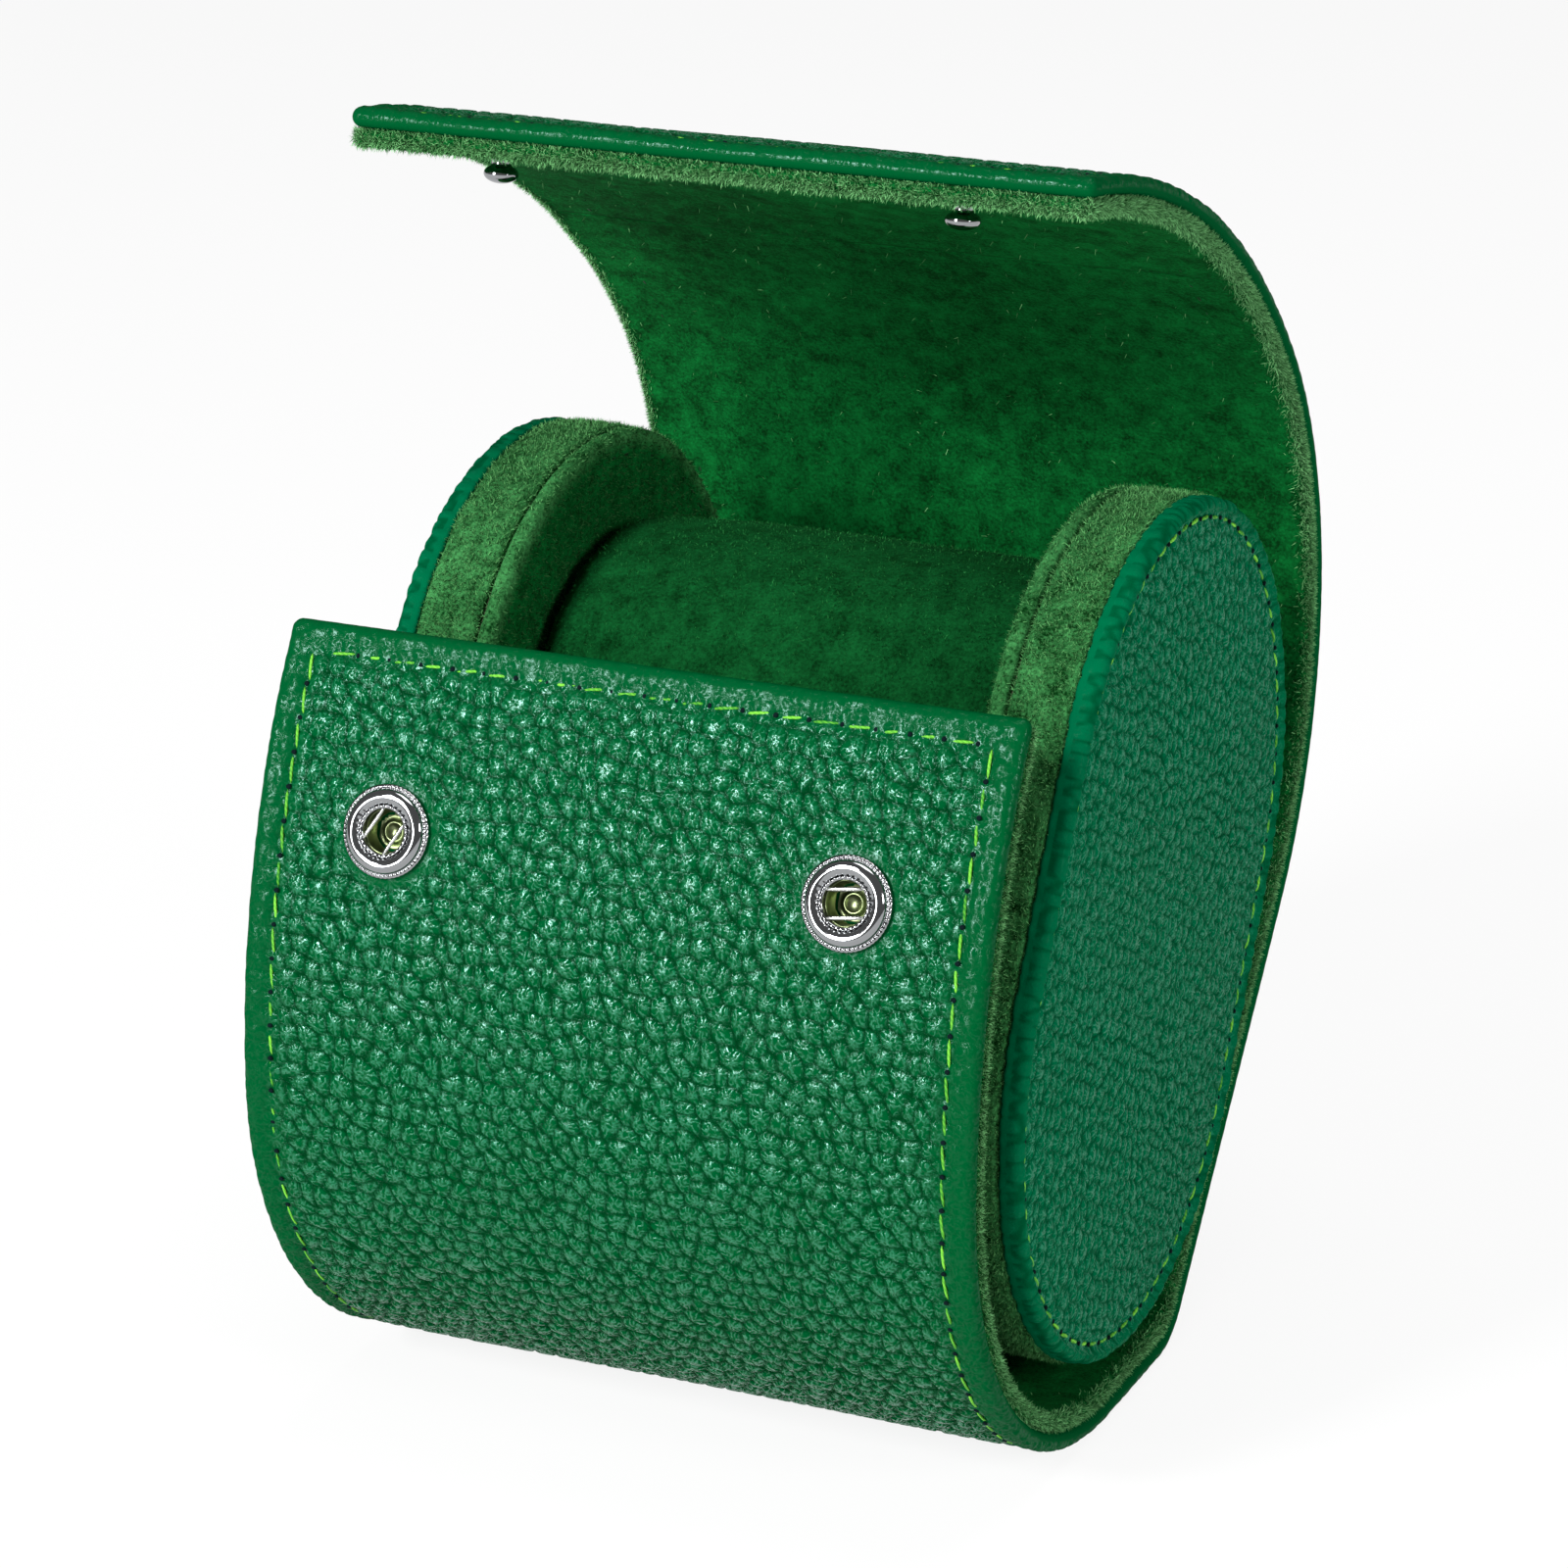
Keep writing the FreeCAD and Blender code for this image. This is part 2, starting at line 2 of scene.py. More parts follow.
# # A leather watch roll
# One curved strip of pebbled leather, lined with suede, wraps a suede pillow between two end discs.
# The solids already give every piece its place. Each visible piece is modelled again here as a
# surface that can carry grain, stitches, rolled edges and nap; the discs, the pillow and the snaps ride on
# their solids' bodies.

# %% Load the solids
import math
import bmesh
import bpy
import numpy as np
from mathutils import Matrix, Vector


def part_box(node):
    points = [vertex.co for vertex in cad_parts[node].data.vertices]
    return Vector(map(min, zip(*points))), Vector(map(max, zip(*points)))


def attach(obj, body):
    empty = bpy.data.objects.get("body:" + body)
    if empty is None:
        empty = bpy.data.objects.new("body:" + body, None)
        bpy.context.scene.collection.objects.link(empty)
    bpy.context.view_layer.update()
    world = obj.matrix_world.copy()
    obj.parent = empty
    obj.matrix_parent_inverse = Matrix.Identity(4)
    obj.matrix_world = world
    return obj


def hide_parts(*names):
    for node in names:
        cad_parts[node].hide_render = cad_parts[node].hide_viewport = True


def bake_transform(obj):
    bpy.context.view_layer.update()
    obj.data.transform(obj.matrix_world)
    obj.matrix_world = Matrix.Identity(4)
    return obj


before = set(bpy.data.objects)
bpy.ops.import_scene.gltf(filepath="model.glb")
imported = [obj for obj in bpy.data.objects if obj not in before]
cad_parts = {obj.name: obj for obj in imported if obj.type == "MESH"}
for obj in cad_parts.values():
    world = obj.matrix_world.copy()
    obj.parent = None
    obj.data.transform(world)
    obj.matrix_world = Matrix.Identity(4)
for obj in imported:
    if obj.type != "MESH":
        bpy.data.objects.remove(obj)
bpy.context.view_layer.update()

MM = 0.001
random = np.random.default_rng(7)

# %% [markdown]
# ## Putting arrays into meshes
# Every shape below is worked out as whole arrays in millimetres. A few helpers turn them into objects:
# they list the quads of a grid of points, fill a mesh, weld doubled points where a grid closes on
# itself, turn the faces outwards and keep named values per point for the shaders.

# %% Mesh helpers


def grid_quads(index):
    """Quads between neighbouring rows and columns of an array of point numbers."""
    return np.stack([index[:-1, :-1], index[:-1, 1:], index[1:, 1:], index[1:, :-1]], -1).reshape(-1, 4)


def ring_quads(index):
    """Quads of a grid whose last column joins its first."""
    return grid_quads(np.concatenate([index, index[:, :1]], 1))


def add_object(name, data):
    """An object in the scene for a mesh, a lamp or a camera."""
    made = bpy.data.objects.new(name, data)
    bpy.context.scene.collection.objects.link(made)
    return made


def keep_value(mesh, name, array):
    """Keep a named number for each point of a mesh, for the shaders."""
    layer = mesh.attributes.new(name, "FLOAT", "POINT")
    layer.data.foreach_set("value", np.ascontiguousarray(array, np.float32))


def add_piece(name, points, faces, weld=False, values=None):
    """A smooth-shaded mesh object from points in millimetres, with its faces turned outwards."""
    mesh = bpy.data.meshes.new(name)
    mesh.from_pydata((points * MM).tolist(), [], faces)
    for key, array in (values or {}).items():
        keep_value(mesh, key, array)
    work = bmesh.new()
    work.from_mesh(mesh)
    if weld:
        bmesh.ops.remove_doubles(work, verts=work.verts, dist=0.002 * MM)
        bmesh.ops.dissolve_degenerate(work, edges=work.edges, dist=0.001 * MM)
    bmesh.ops.recalc_face_normals(work, faces=work.faces)
    work.to_mesh(mesh)
    work.free()
    mesh.shade_smooth()
    print(f"{name}: {len(mesh.vertices)} points, {len(mesh.polygons)} faces")
    return add_object(name, mesh)


# %% [markdown]
# ## The strip's path
# Seen from its end, the strip is a chain of straight and round stretches, each tangent to the next:
# front panel, front bend, resting flat, back bend, back run, flap. A point of the strip is found from
# its length along the outer face and its depth below it, so leather, lining and stitches share one path.

# %% Path of the strip
STRIP_WIDTH = 84.0
PANEL_LENGTH, PANEL_RADIUS = 51.0, 89.7
FRONT_RADIUS, FRONT_BASE_RUN = 41.9, 4.0
REST_LENGTH = 16.1
BACK_RADIUS, BACK_SLOPE, BACK_RUN = 9.0, math.radians(50.6), 45.2
ROOT_RUN, ROOT_RADIUS, ROOT_TURN = 4.0, 52.0, math.radians(81.3)
MIDDLE_LENGTH, MIDDLE_RADIUS = 46.2, 97.8
TIP_LENGTH, TIP_RADIUS = 28.2, 112.1

LENGTHS = np.array([PANEL_LENGTH, FRONT_RADIUS * math.pi / 2, REST_LENGTH, BACK_RADIUS * BACK_SLOPE,
                    BACK_RUN + ROOT_RUN, ROOT_RADIUS * ROOT_TURN, MIDDLE_LENGTH, TIP_LENGTH])
BENDS = np.array([1 / PANEL_RADIUS, 1 / FRONT_RADIUS, 0, 1 / BACK_RADIUS, 0, 1 / ROOT_RADIUS,
                  1 / MIDDLE_RADIUS, 1 / TIP_RADIUS])
STATIONS = np.concatenate([[0], np.cumsum(LENGTHS)])
HEADINGS = -math.pi / 2 - PANEL_LENGTH / PANEL_RADIUS + np.concatenate([[0], np.cumsum(LENGTHS * BENDS)])


def along_stretch(length, heading, bend):
    """Step along a tangent arc, from the turned heading's sine and cosine; straight where the bend is 0."""
    safe = np.where(bend == 0, 1.0, bend)
    turned = heading + length * bend
    y = np.where(bend == 0, length * np.cos(heading), (np.sin(turned) - np.sin(heading)) / safe)
    z = np.where(bend == 0, length * np.sin(heading), (np.cos(heading) - np.cos(turned)) / safe)
    return y, z


STEPS = np.stack(along_stretch(LENGTHS, HEADINGS[:-1], BENDS), -1)
STARTS = np.concatenate([np.zeros((1, 2)), np.cumsum(STEPS, 0)])
STARTS = STARTS - STARTS[2] - [REST_LENGTH / 2, 0]


def strip_heading(s):
    """Number of the stretch that holds a length s, and the path's heading there."""
    which = np.clip(np.searchsorted(STATIONS, s, "right") - 1, 0, len(LENGTHS) - 1)
    return which, HEADINGS[which] + (s - STATIONS[which]) * BENDS[which]


def strip_point(x, s, depth):
    """Point at x across, length s along the outer face and a depth below it."""
    x, s, depth = np.broadcast_arrays(x, s, depth)
    which, heading = strip_heading(s)
    dy, dz = along_stretch(s - STATIONS[which], HEADINGS[which], BENDS[which])
    y = STARTS[which, 0] + dy - depth * np.sin(heading)
    z = STARTS[which, 1] + dz + depth * np.cos(heading)
    return np.stack([x, y, z], -1)


def strip_frame(s):
    """Unit vectors along the strip and out of its outer face at length s."""
    _, heading = strip_heading(s)
    zero = np.zeros_like(heading)
    return (np.stack([zero, np.cos(heading), np.sin(heading)], -1),
            np.stack([zero, np.sin(heading), -np.cos(heading)], -1))


# %% [markdown]
# ## Where the strip bends
# The solids have a hinge at each place where the strip bends. The strip is cut between neighbouring
# hinges, so every piece holds one of them.

# %% Spans of the strip
STRIP_END = STATIONS[-1]
BEND_AT = {"panel": STATIONS[2] - FRONT_BASE_RUN, "back": STATIONS[4] + BACK_RUN, "crown": STATIONS[6],
           "tip": STATIONS[7]}
CUT_AT = {"base": (STATIONS[2] + STATIONS[3]) / 2, "root": (STATIONS[5] + STATIONS[6]) / 2,
          "middle": (STATIONS[6] + STATIONS[7]) / 2}
SPANS = {"front": (0.0, CUT_AT["base"], "panel", "front_panel", "roll_base"),
         "back": (CUT_AT["base"], CUT_AT["root"], "back", "roll_base", "flap_root"),
         "crown": (CUT_AT["root"], CUT_AT["middle"], "crown", "flap_root", "flap_middle"),
         "tip": (CUT_AT["middle"], STRIP_END, "tip", "flap_middle", "flap_tip")}
BEND_REACH = 7.0


def bend_with(piece, span):
    """Bake a piece of the strip into its points; the path's points on both sides of its bend line are
    worked out but not used.
    """
    _, _, bend, before, after = SPANS[span]
    start = strip_point(0.0, BEND_AT[bend] - BEND_REACH, 0.0) * MM
    end = strip_point(0.0, BEND_AT[bend] + BEND_REACH, 0.0) * MM
    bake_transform(piece)


print(f"strip: {STRIP_END:.1f} mm long, tip at {strip_point(0.0, STRIP_END, 0.0).round(1)}")

# %% [markdown]
# ## Fades
# Relief has to come and go gently. Three small curves do that in every shape after this: eased flattens
# both ends of a rise, ramp is a straight rise between two stops, and bell is a smooth bump.

# %% Fades


def eased(t):
    """A value from 0 to 1, flattened at both ends."""
    return t * t * (3 - 2 * t)


def ramp(value, start, width):
    """0 up to a start, then straight up to 1 over a width."""
    return np.clip((value - start) / width, 0, 1)


def bell(value, centre, width):
    """A smooth bump of height 1 about a centre."""
    return np.exp(-((value - centre) / width) ** 2)


print("halfway up:", eased(0.5), ramp(3.0, 2.0, 2.0), "and at the top of a bell:", bell(0.0, 0.0, 1.0))

# %% [markdown]
# ## Pebbled grain
# Shrunken-grain leather is a pavement of small rounded pebbles with sharp creases between them. A
# pavement like that is what a jittered lattice of points makes: the difference between the distances
# to the second nearest and the nearest point is zero along the creases and grows towards the middle
# of each pebble. It is real relief in the mesh, so the light catches every pebble.

# %% Grain
JITTER = 0.72


def scatter(i, j, seed):
    """A repeatable number from 0 to 1 for each lattice cell."""
    wave = np.sin(i * 127.1 + j * 311.7 + seed * 74.7) * 43758.5453
    return wave - np.floor(wave)


def pebble_cells(u, v, size, seed):
    """Distance to the nearest point of a jittered lattice, the gap to the second, and the way from it."""
    u, v = u / size, v / size
    ci, cj = np.floor(u), np.floor(v)
    near = np.full(u.shape, 9.0)
    second = near.copy()
    way = np.zeros(u.shape + (2,))
    for di in (-1, 0, 1):
        for dj in (-1, 0, 1):
            i, j = ci + di, cj + dj
            pu = i + 0.5 * np.mod(j, 2) + JITTER * (scatter(i, j, seed) - 0.5) + 0.25
            pv = j + 0.5 + JITTER * (scatter(i, j, seed + 3) - 0.5)
            reach = np.hypot(u - pu, v - pv)
            second = np.minimum(second, np.maximum(near, reach))
            way = np.where((reach < near)[..., None], np.stack([u - pu, v - pv], -1), way)
            near = np.minimum(near, reach)
    return near, second - near, way


def soft_noise(u, v, size, seed):
    """Smooth noise from -1 to 1: lattice values eased into each other."""
    u, v = u / size, v / size
    i, j = np.floor(u), np.floor(v)
    a, b = eased(u - i), eased(v - j)
    low = scatter(i, j, seed) * (1 - a) + scatter(i + 1, j, seed) * a
    high = scatter(i, j + 1, seed) * (1 - a) + scatter(i + 1, j + 1, seed) * a
    return 2 * (low * (1 - b) + high * b) - 1


def leather_grain(u, v, size, seed):
    """Relief from 0 on a pebble's crown to -1 in a crease, with values for the shader.

    The values are 1 in a crease and 0 on a pebble, and the way from the pebble's middle, in cells.
    """
    wu = u + 0.25 * size * soft_noise(u, v, 1.5 * size, seed + 11)
    wv = v + 0.25 * size * soft_noise(u, v, 1.5 * size, seed + 17)
    near, gap, way = pebble_cells(wu, wv, size, seed)
    rise = eased(ramp(gap, 0, 0.5))
    relief = 0.8 * (rise - 1) - 0.2 * np.clip(near / 0.7, 0, 1.1) ** 2
    return relief, {"crease": 1 - rise, "way_u": way[..., 0], "way_v": way[..., 1]}


patch = np.meshgrid(np.arange(0, 20, 0.2), np.arange(0, 20, 0.2))
print(f"grain of 2 mm pebbles: mean relief {leather_grain(*patch, 2.0, 1)[0].mean():.2f} of its depth")


# %% [markdown]
# ## A sheet with rolled edges
# The leather is folded round the edge of its board, so the strip ends in a half-round roll. The face
# is a grid; where the grid meets an edge its lines bunch up and follow a quarter circle, and a corner,
# where both directions curve, becomes a quarter of a ball.

# %% Rolled edges
ROLL_STEPS = 6


def rolled_line(low, high, roll, step, roll_low=True, roll_high=True):
    """Face position and signed sine of the roll for each grid line from low to high."""
    turn = np.sin(np.linspace(0, math.pi / 2, ROLL_STEPS + 1))[1:]
    a, b = low + roll * roll_low, high - roll * roll_high
    face = np.linspace(a, b, max(2, int(round((b - a) / step)) + 1))
    place = np.concatenate([np.full(ROLL_STEPS, a) if roll_low else [], face,
                            np.full(ROLL_STEPS, b) if roll_high else []])
    sine = np.concatenate([-turn[::-1] if roll_low else [], np.zeros(face.size),
                           turn if roll_high else []])
    return place, sine


def rolled_grid(lines_x, lines_s, roll):
    """Positions across and along, and the crown: 1 on the face, 0 at mid thickness of the rolled edge."""
    (px, sx), (ps, ss) = lines_x, lines_s
    sx, ss = np.meshgrid(sx, ss)
    x = px[None, :] + roll * sx * np.sqrt(1 - 0.5 * ss**2)
    s = ps[:, None] + roll * ss * np.sqrt(1 - 0.5 * sx**2)
    return x, s, np.sqrt((1 - sx**2) * (1 - ss**2))


# %% [markdown]
# ## Closing the sheet
# A sheet has two sides. The one that the next layer hides needs only a few wide columns. It joins the
# face along the rolled edge, and a flat cap closes an end that is cut.

# %% Closed sheet
HIDDEN_COLUMNS = 9


def rolled_sheet(name, x, s, crown, depth_of, relief, rows, free_low, free_high, values):
    """Closed sheet from some rows of the strip's grid; depth_of(crown, relief) is its depth."""
    x, s, crown, relief = x[rows], s[rows], crown[rows], relief[rows]
    values = {key: array[rows] for key, array in values.items()}
    count, width = x.shape
    last = width - 1 - ROLL_STEPS
    wide = np.linspace(ROLL_STEPS, last, HIDDEN_COLUMNS).astype(int)
    pick = np.unique(np.concatenate([np.arange(ROLL_STEPS + 1), wide, np.arange(last, width)]))
    face = np.arange(count * width).reshape(count, width)
    back = np.full((count, pick.size), -1)
    back[:, 0], back[:, -1] = face[:, 0], face[:, -1]
    if free_low:
        back[0] = face[0, pick]
    if free_high:
        back[-1] = face[-1, pick]
    fresh = back < 0
    back[fresh] = face.size + np.arange(fresh.sum())
    front_points = strip_point(x, s, depth_of(crown, relief)).reshape(-1, 3)
    back_points = strip_point(x[:, pick], s[:, pick], depth_of(-crown[:, pick], 0.0))[fresh]
    quads = [grid_quads(face), grid_quads(back[int(free_low):count - int(free_high)])[:, ::-1]]
    faces = np.concatenate(quads).tolist()
    for free, edge, inner in ((free_low, 0, 1), (free_high, count - 1, count - 2)):
        if free:
            for k in range(pick.size - 1):
                rim = face[edge, pick[k]:pick[k + 1] + 1].tolist()
                faces.append(rim + back[inner, [k + 1, k]].tolist())
        else:
            faces.append(face[edge].tolist() + back[edge, -2:0:-1].tolist())
    faces = [list(dict.fromkeys(f)) for f in faces]
    hidden = np.zeros(fresh.sum())
    filled = {key: np.concatenate([array.ravel(), hidden]) for key, array in values.items()}
    points = np.concatenate([front_points, back_points])
    return add_piece(name, points, [f for f in faces if len(f) > 2], values=filled)


# %% [markdown]
# ## The leather
# The whole strip is laid out flat first, so that the grain runs on across the bends, and then cut into
# four pieces. Each piece crosses one bend line. The stitch line presses
# a shallow furrow into the face, and each snap's eyelet sits in a round hole.

# %% Leather of the strip
LEATHER_HALF = 1.1
LEATHER_STEP = 0.35
GRAIN_SIZE, GRAIN_DEPTH = 2.1, 0.36
STITCH_INSET = 3.4
FURROW_DEPTH, FURROW_WIDTH = 0.30, 0.75
SWELL_HEIGHT, SWELL_SIZE = 0.10, 14.0
SNAP_X, SOCKET_DROP, STUD_SETBACK = 26.2, 21.3, 5.0
EYELET_HOLE, PIT_DEPTH, CAP_SEAT = 2.3, 2.1, 4.9


def edge_distance(x, s):
    """Distance to the nearest edge of the flat strip."""
    return np.minimum(STRIP_WIDTH / 2 - np.abs(x), np.minimum(s, STRIP_END - s))


def leather_relief(x, s):
    """Grain, a furrow along the stitch line and the pits under the snaps, in millimetres outwards."""
    grain, values = leather_grain(x, s, GRAIN_SIZE, 1)
    inside = edge_distance(x, s)
    calm = 0.45 + 0.55 * ramp(inside, 1.5, 4)
    furrow = FURROW_DEPTH * bell(inside, STITCH_INSET, FURROW_WIDTH)
    swell = SWELL_HEIGHT * soft_noise(x, s, SWELL_SIZE, 2)
    snap = np.hypot(np.abs(x) - SNAP_X, s - SOCKET_DROP)
    pit = np.clip((EYELET_HOLE + 0.3 - snap) / 0.6, 0, 1)
    flat = ramp(snap, CAP_SEAT, 1.5)
    relief = (GRAIN_DEPTH * calm * grain - furrow + swell) * flat - PIT_DEPTH * pit
    values["crease"] = values["crease"] * calm * flat
    values["wrinkle"] = (0.2 + 0.8 * ramp(inside, 2.4, 3)) * flat
    return relief, values


lines_x = rolled_line(-STRIP_WIDTH / 2, STRIP_WIDTH / 2, LEATHER_HALF, LEATHER_STEP)
lines_s = rolled_line(0.0, STRIP_END, LEATHER_HALF, LEATHER_STEP)
grid_x, grid_s, grid_crown = rolled_grid(lines_x, lines_s, LEATHER_HALF)
relief, grain_values = leather_relief(grid_x, grid_s)


def leather_depth(crown, out):
    """Outer face at depth 0, the hidden side at the full thickness; relief fades out round the roll."""
    return LEATHER_HALF - LEATHER_HALF * crown - out * np.clip(crown, 0, 1) ** 0.5


# %% [markdown]
# ## Cutting the strip into pieces
# The grid is cut along its rows, so that neighbouring pieces share their cut and no gap opens between
# them. Each piece says which solids it stands for, and these are hidden.

# %% Cut the leather


def rows_between(place, low, high):
    """The slice of grid rows from one length along the strip to another, both ends included."""
    inside = np.flatnonzero((place >= low - 1e-6) & (place <= high + 1e-6))
    return slice(inside[0], inside[-1] + 1)


def snap_to_rows(place):
    """Move the spans' cuts onto grid rows, so that neighbouring pieces share their cut."""
    ends = {}
    for span, (low, high, *_) in SPANS.items():
        ends[span] = [place[np.argmin(np.abs(place - v))] for v in (low, high)]
    return ends


SECTIONS = {"front": ["front_panel"], "back": ["base"], "crown": ["flap_root"],
            "tip": ["flap_middle", "flap_tip"]}


def cut_strip(layer, place, grid, depth_of, relief, values):
    """Cut a layer's grid into one sheet for each span, standing for the CAD nodes of that layer."""
    sheets = {}
    for span, (low, high) in snap_to_rows(place).items():
        first, last = span == "front", span == "tip"
        rows = rows_between(place, 0.0 if first else low, STRIP_END if last else high)
        sheets[span] = rolled_sheet(f"{layer}_{span}", *grid, depth_of, relief, rows, first, last, values)
        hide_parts(*[f"{section}_{layer}" for section in SECTIONS[span]])
    return sheets


flat_grid = (grid_x, grid_s, grid_crown)
leathers = cut_strip("leather", lines_s[0], flat_grid, leather_depth, relief, grain_values)

# %% [markdown]
# ## The suede lining
# The lining is a thicker, softer layer glued inside the leather, its cut edge just inside the roll. It is
# the same sheet turned over: the grid's fine side faces inwards and carries the gentle waviness of a
# split hide.

# %% Lining of the strip
LINING_HALF, LINING_MID, LINING_INSET, LINING_STEP = 1.0, 3.2, 0.4, 0.62


def lining_depth(crown, out):
    """Inner face at the full depth of the strip, the glued side against the leather."""
    return LINING_MID + LINING_HALF * crown + out * np.clip(crown, 0, 1) ** 0.5


lining_edge = STRIP_WIDTH / 2 - LINING_INSET
lining_x = rolled_line(-lining_edge, lining_edge, LINING_HALF, LINING_STEP)
lining_s = rolled_line(LINING_INSET, STRIP_END - LINING_INSET, LINING_HALF, LINING_STEP)
soft_x, soft_s, soft_crown = rolled_grid(lining_x, lining_s, LINING_HALF)
soft_relief = 0.10 * soft_noise(soft_x, soft_s, 9.0, 31) + 0.07 * soft_noise(soft_x, soft_s, 2.6, 32)
linings = cut_strip("lining", lining_s[0], (soft_x, soft_s, soft_crown), lining_depth, soft_relief, {})

# %% [markdown]
# ## Stitches
# A stitch is a short length of twisted thread that dives into a needle hole at each end. One small
# capsule, bent so that its ends sink, is repeated along each seam: its centre comes from the seam's path
# and its axes from the seam's direction and the face's normal, all stitches of a seam at once.

# %% Stitch shapes
STITCH_PITCH, STITCH_LENGTH, THREAD = 3.7, 3.0, 0.165


def capsule(length, thick, rings=7, sides=7):
    """Points and faces of a stitch: circles that narrow towards both ends, which are bent down."""
    t = np.linspace(-1, 1, rings)[:, None]
    a = np.linspace(0, 2 * math.pi, sides, endpoint=False)[None, :]
    radius = thick * np.sqrt(np.clip(1 - t**4, 0.03, 1))
    x = np.broadcast_to(t * length / 2, (rings, sides))
    z = radius * np.sin(a) * 0.85 - 0.85 * thick * t**2
    index = np.arange(rings * sides).reshape(rings, sides)
    faces = ring_quads(index).tolist() + [index[0, ::-1].tolist(), index[-1].tolist()]
    return np.stack([x, radius * np.cos(a), z], -1).reshape(-1, 3), faces


def repeat_shape(name, shape, faces, centre, along, normal, values=None):
    """The shape at every centre, its x along the seam and its z out of the face."""
    side = np.cross(normal, along)
    points = (centre[:, None] + shape[None, :, :1] * along[:, None] + shape[None, :, 1:2] * side[:, None]
              + shape[None, :, 2:] * normal[:, None])
    offsets = np.arange(len(centre)) * len(shape)
    all_faces = [[v + int(o) for v in f] for o in offsets for f in faces]
    filled = {key: np.repeat(array, len(shape)) for key, array in (values or {}).items()}
    return add_piece(name, points.reshape(-1, 3), all_faces, values=filled)


def slanted(along, normal, degrees):
    """The seam's direction turned a little in the face, as a sewn stitch lies."""
    side = np.cross(normal, along)
    angle = np.radians(degrees)[:, None]
    return along * np.cos(angle) + side * np.sin(angle)


def sew(name, centre, along, normal, length=STITCH_LENGTH, thread=THREAD, sink=0.16):
    """A seam's stitches, slightly uneven, with a tone of its own for each."""
    count = len(centre)
    tilt = slanted(along, normal, random.uniform(3, 9, count))
    tone = random.uniform(0, 1, count)
    sunk = centre - sink * normal
    return repeat_shape(name, *capsule(length, thread), sunk, tilt, normal, {"tone": tone})


def needle_holes(name, centre, along, normal, pitch, size=0.28):
    """Dimples between the stitches: flattened beads pressed into the face, coloured near black as painted
    shade in the needle holes.
    """
    shape, faces = capsule(2.0 * size, size, 5, 7)
    place = centre + along * pitch / 2 - 0.06 * normal
    return repeat_shape(name, shape * [1, 1, 0.45], faces, place, along, normal)


# %% [markdown]
# ## Seams of the strip
# The strip is sewn all round, a few millimetres inside its edge: along both long edges, and across the
# two free ends. A second, darker seam shows inside, on the lining. A stitch's place is given in the flat
# strip and carried to the curved face by the strip's path.

# %% Seams round the strip
STITCH_DEPTH, LINING_FACE_DEPTH, LINING_SEAM_INSET = 0.22, 4.15, 6.5


def seam_round_strip(inset, pitch, low, high):
    """Places of stitches along both long edges between two lengths, and across a free end within them."""
    count = int((high - low) / pitch)
    s = low + (np.arange(count) + 0.5) * pitch
    half = STRIP_WIDTH / 2 - inset
    x = np.full(count, half)
    places = [np.stack([side * x, s, np.zeros(count)], -1) for side in (-1, 1)]
    ends = [e for e in (inset, STRIP_END - inset) if low - pitch < e < high + pitch]
    across = int(2 * half / pitch)
    for e in ends:
        xs = ((np.arange(across) + 0.5) - across / 2) * pitch
        places.append(np.stack([xs, np.full(across, e), np.ones(across)], -1))
    return np.concatenate(places)


def seam_axes(places, depth, outward):
    """Centres, directions and normals of stitches placed on the strip's outer or inner face."""
    x, s, across = places.T
    tangent, normal = strip_frame(s)
    along = np.where(across[:, None] > 0, np.array([[1.0, 0, 0]]), tangent)
    return strip_point(x, s, depth), along, normal if outward else -normal


seams = []
for span, (low, high, *_) in SPANS.items():
    low = STITCH_INSET if span == "front" else low
    high = STRIP_END - STITCH_INSET if span == "tip" else high
    axes = seam_axes(seam_round_strip(STITCH_INSET, STITCH_PITCH, low, high), STITCH_DEPTH, True)
    seams.append((sew(f"stitches_{span}", *axes), span))
    seams.append((needle_holes(f"needle_holes_{span}", *axes, STITCH_PITCH), span))
for span in ("back", "crown", "tip"):
    low, high, *_ = SPANS[span]
    high = STRIP_END - LINING_SEAM_INSET if span == "tip" else high
    axes = seam_axes(seam_round_strip(LINING_SEAM_INSET, STITCH_PITCH, low, high), LINING_FACE_DEPTH, False)
    seams.append((sew(f"lining_stitches_{span}", *axes, length=1.9, thread=0.24), span))
print("seams of the strip:", len(seams))

# %% [markdown]
# ## The end discs
# Each end is a thick disc with two round ends and straight flanks. Its surfaces are profiles carried
# round that outline: a distance from the disc's middle line and a place through its thickness. The
# leather face turns over the rim in small pleats, a suede band covers the wall, and a padded suede
# disc with a rolled edge faces the pillow.

# %% Disc outline
DISC_RADIUS, DISC_STRAIGHT, DISC_LEAN = 35.15, 25.0, math.radians(28.4)
DISC_THICK, RIM_TURN, WALL_WIDTH, INNER_THICK = 12.0, 2.8, 7.1, 2.1
LONG = np.array([0, math.sin(DISC_LEAN), math.cos(DISC_LEAN)])
CROSS = np.array([0, math.cos(DISC_LEAN), -math.sin(DISC_LEAN)])


def box_mm(node):
    """Lowest and highest corner of a CAD node in millimetres."""
    return [np.array(corner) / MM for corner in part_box(node)]


low, high = box_mm("right_disc_core_board")
DISC_MIDDLE = (low + high) / 2 * [0, 1, 1]
RIGHT_FACE = box_mm("right_disc_face_leather")[1][0]
LEFT_FACE = box_mm("left_disc_face_leather")[0][0]
DISC_ENDS = (("right_disc", 1, RIGHT_FACE, "spool"), ("left_disc", -1, LEFT_FACE, "roll_base"))
print(f"disc faces at x {LEFT_FACE:.1f} and {RIGHT_FACE:.1f} mm, middle at {DISC_MIDDLE.round(1)}")


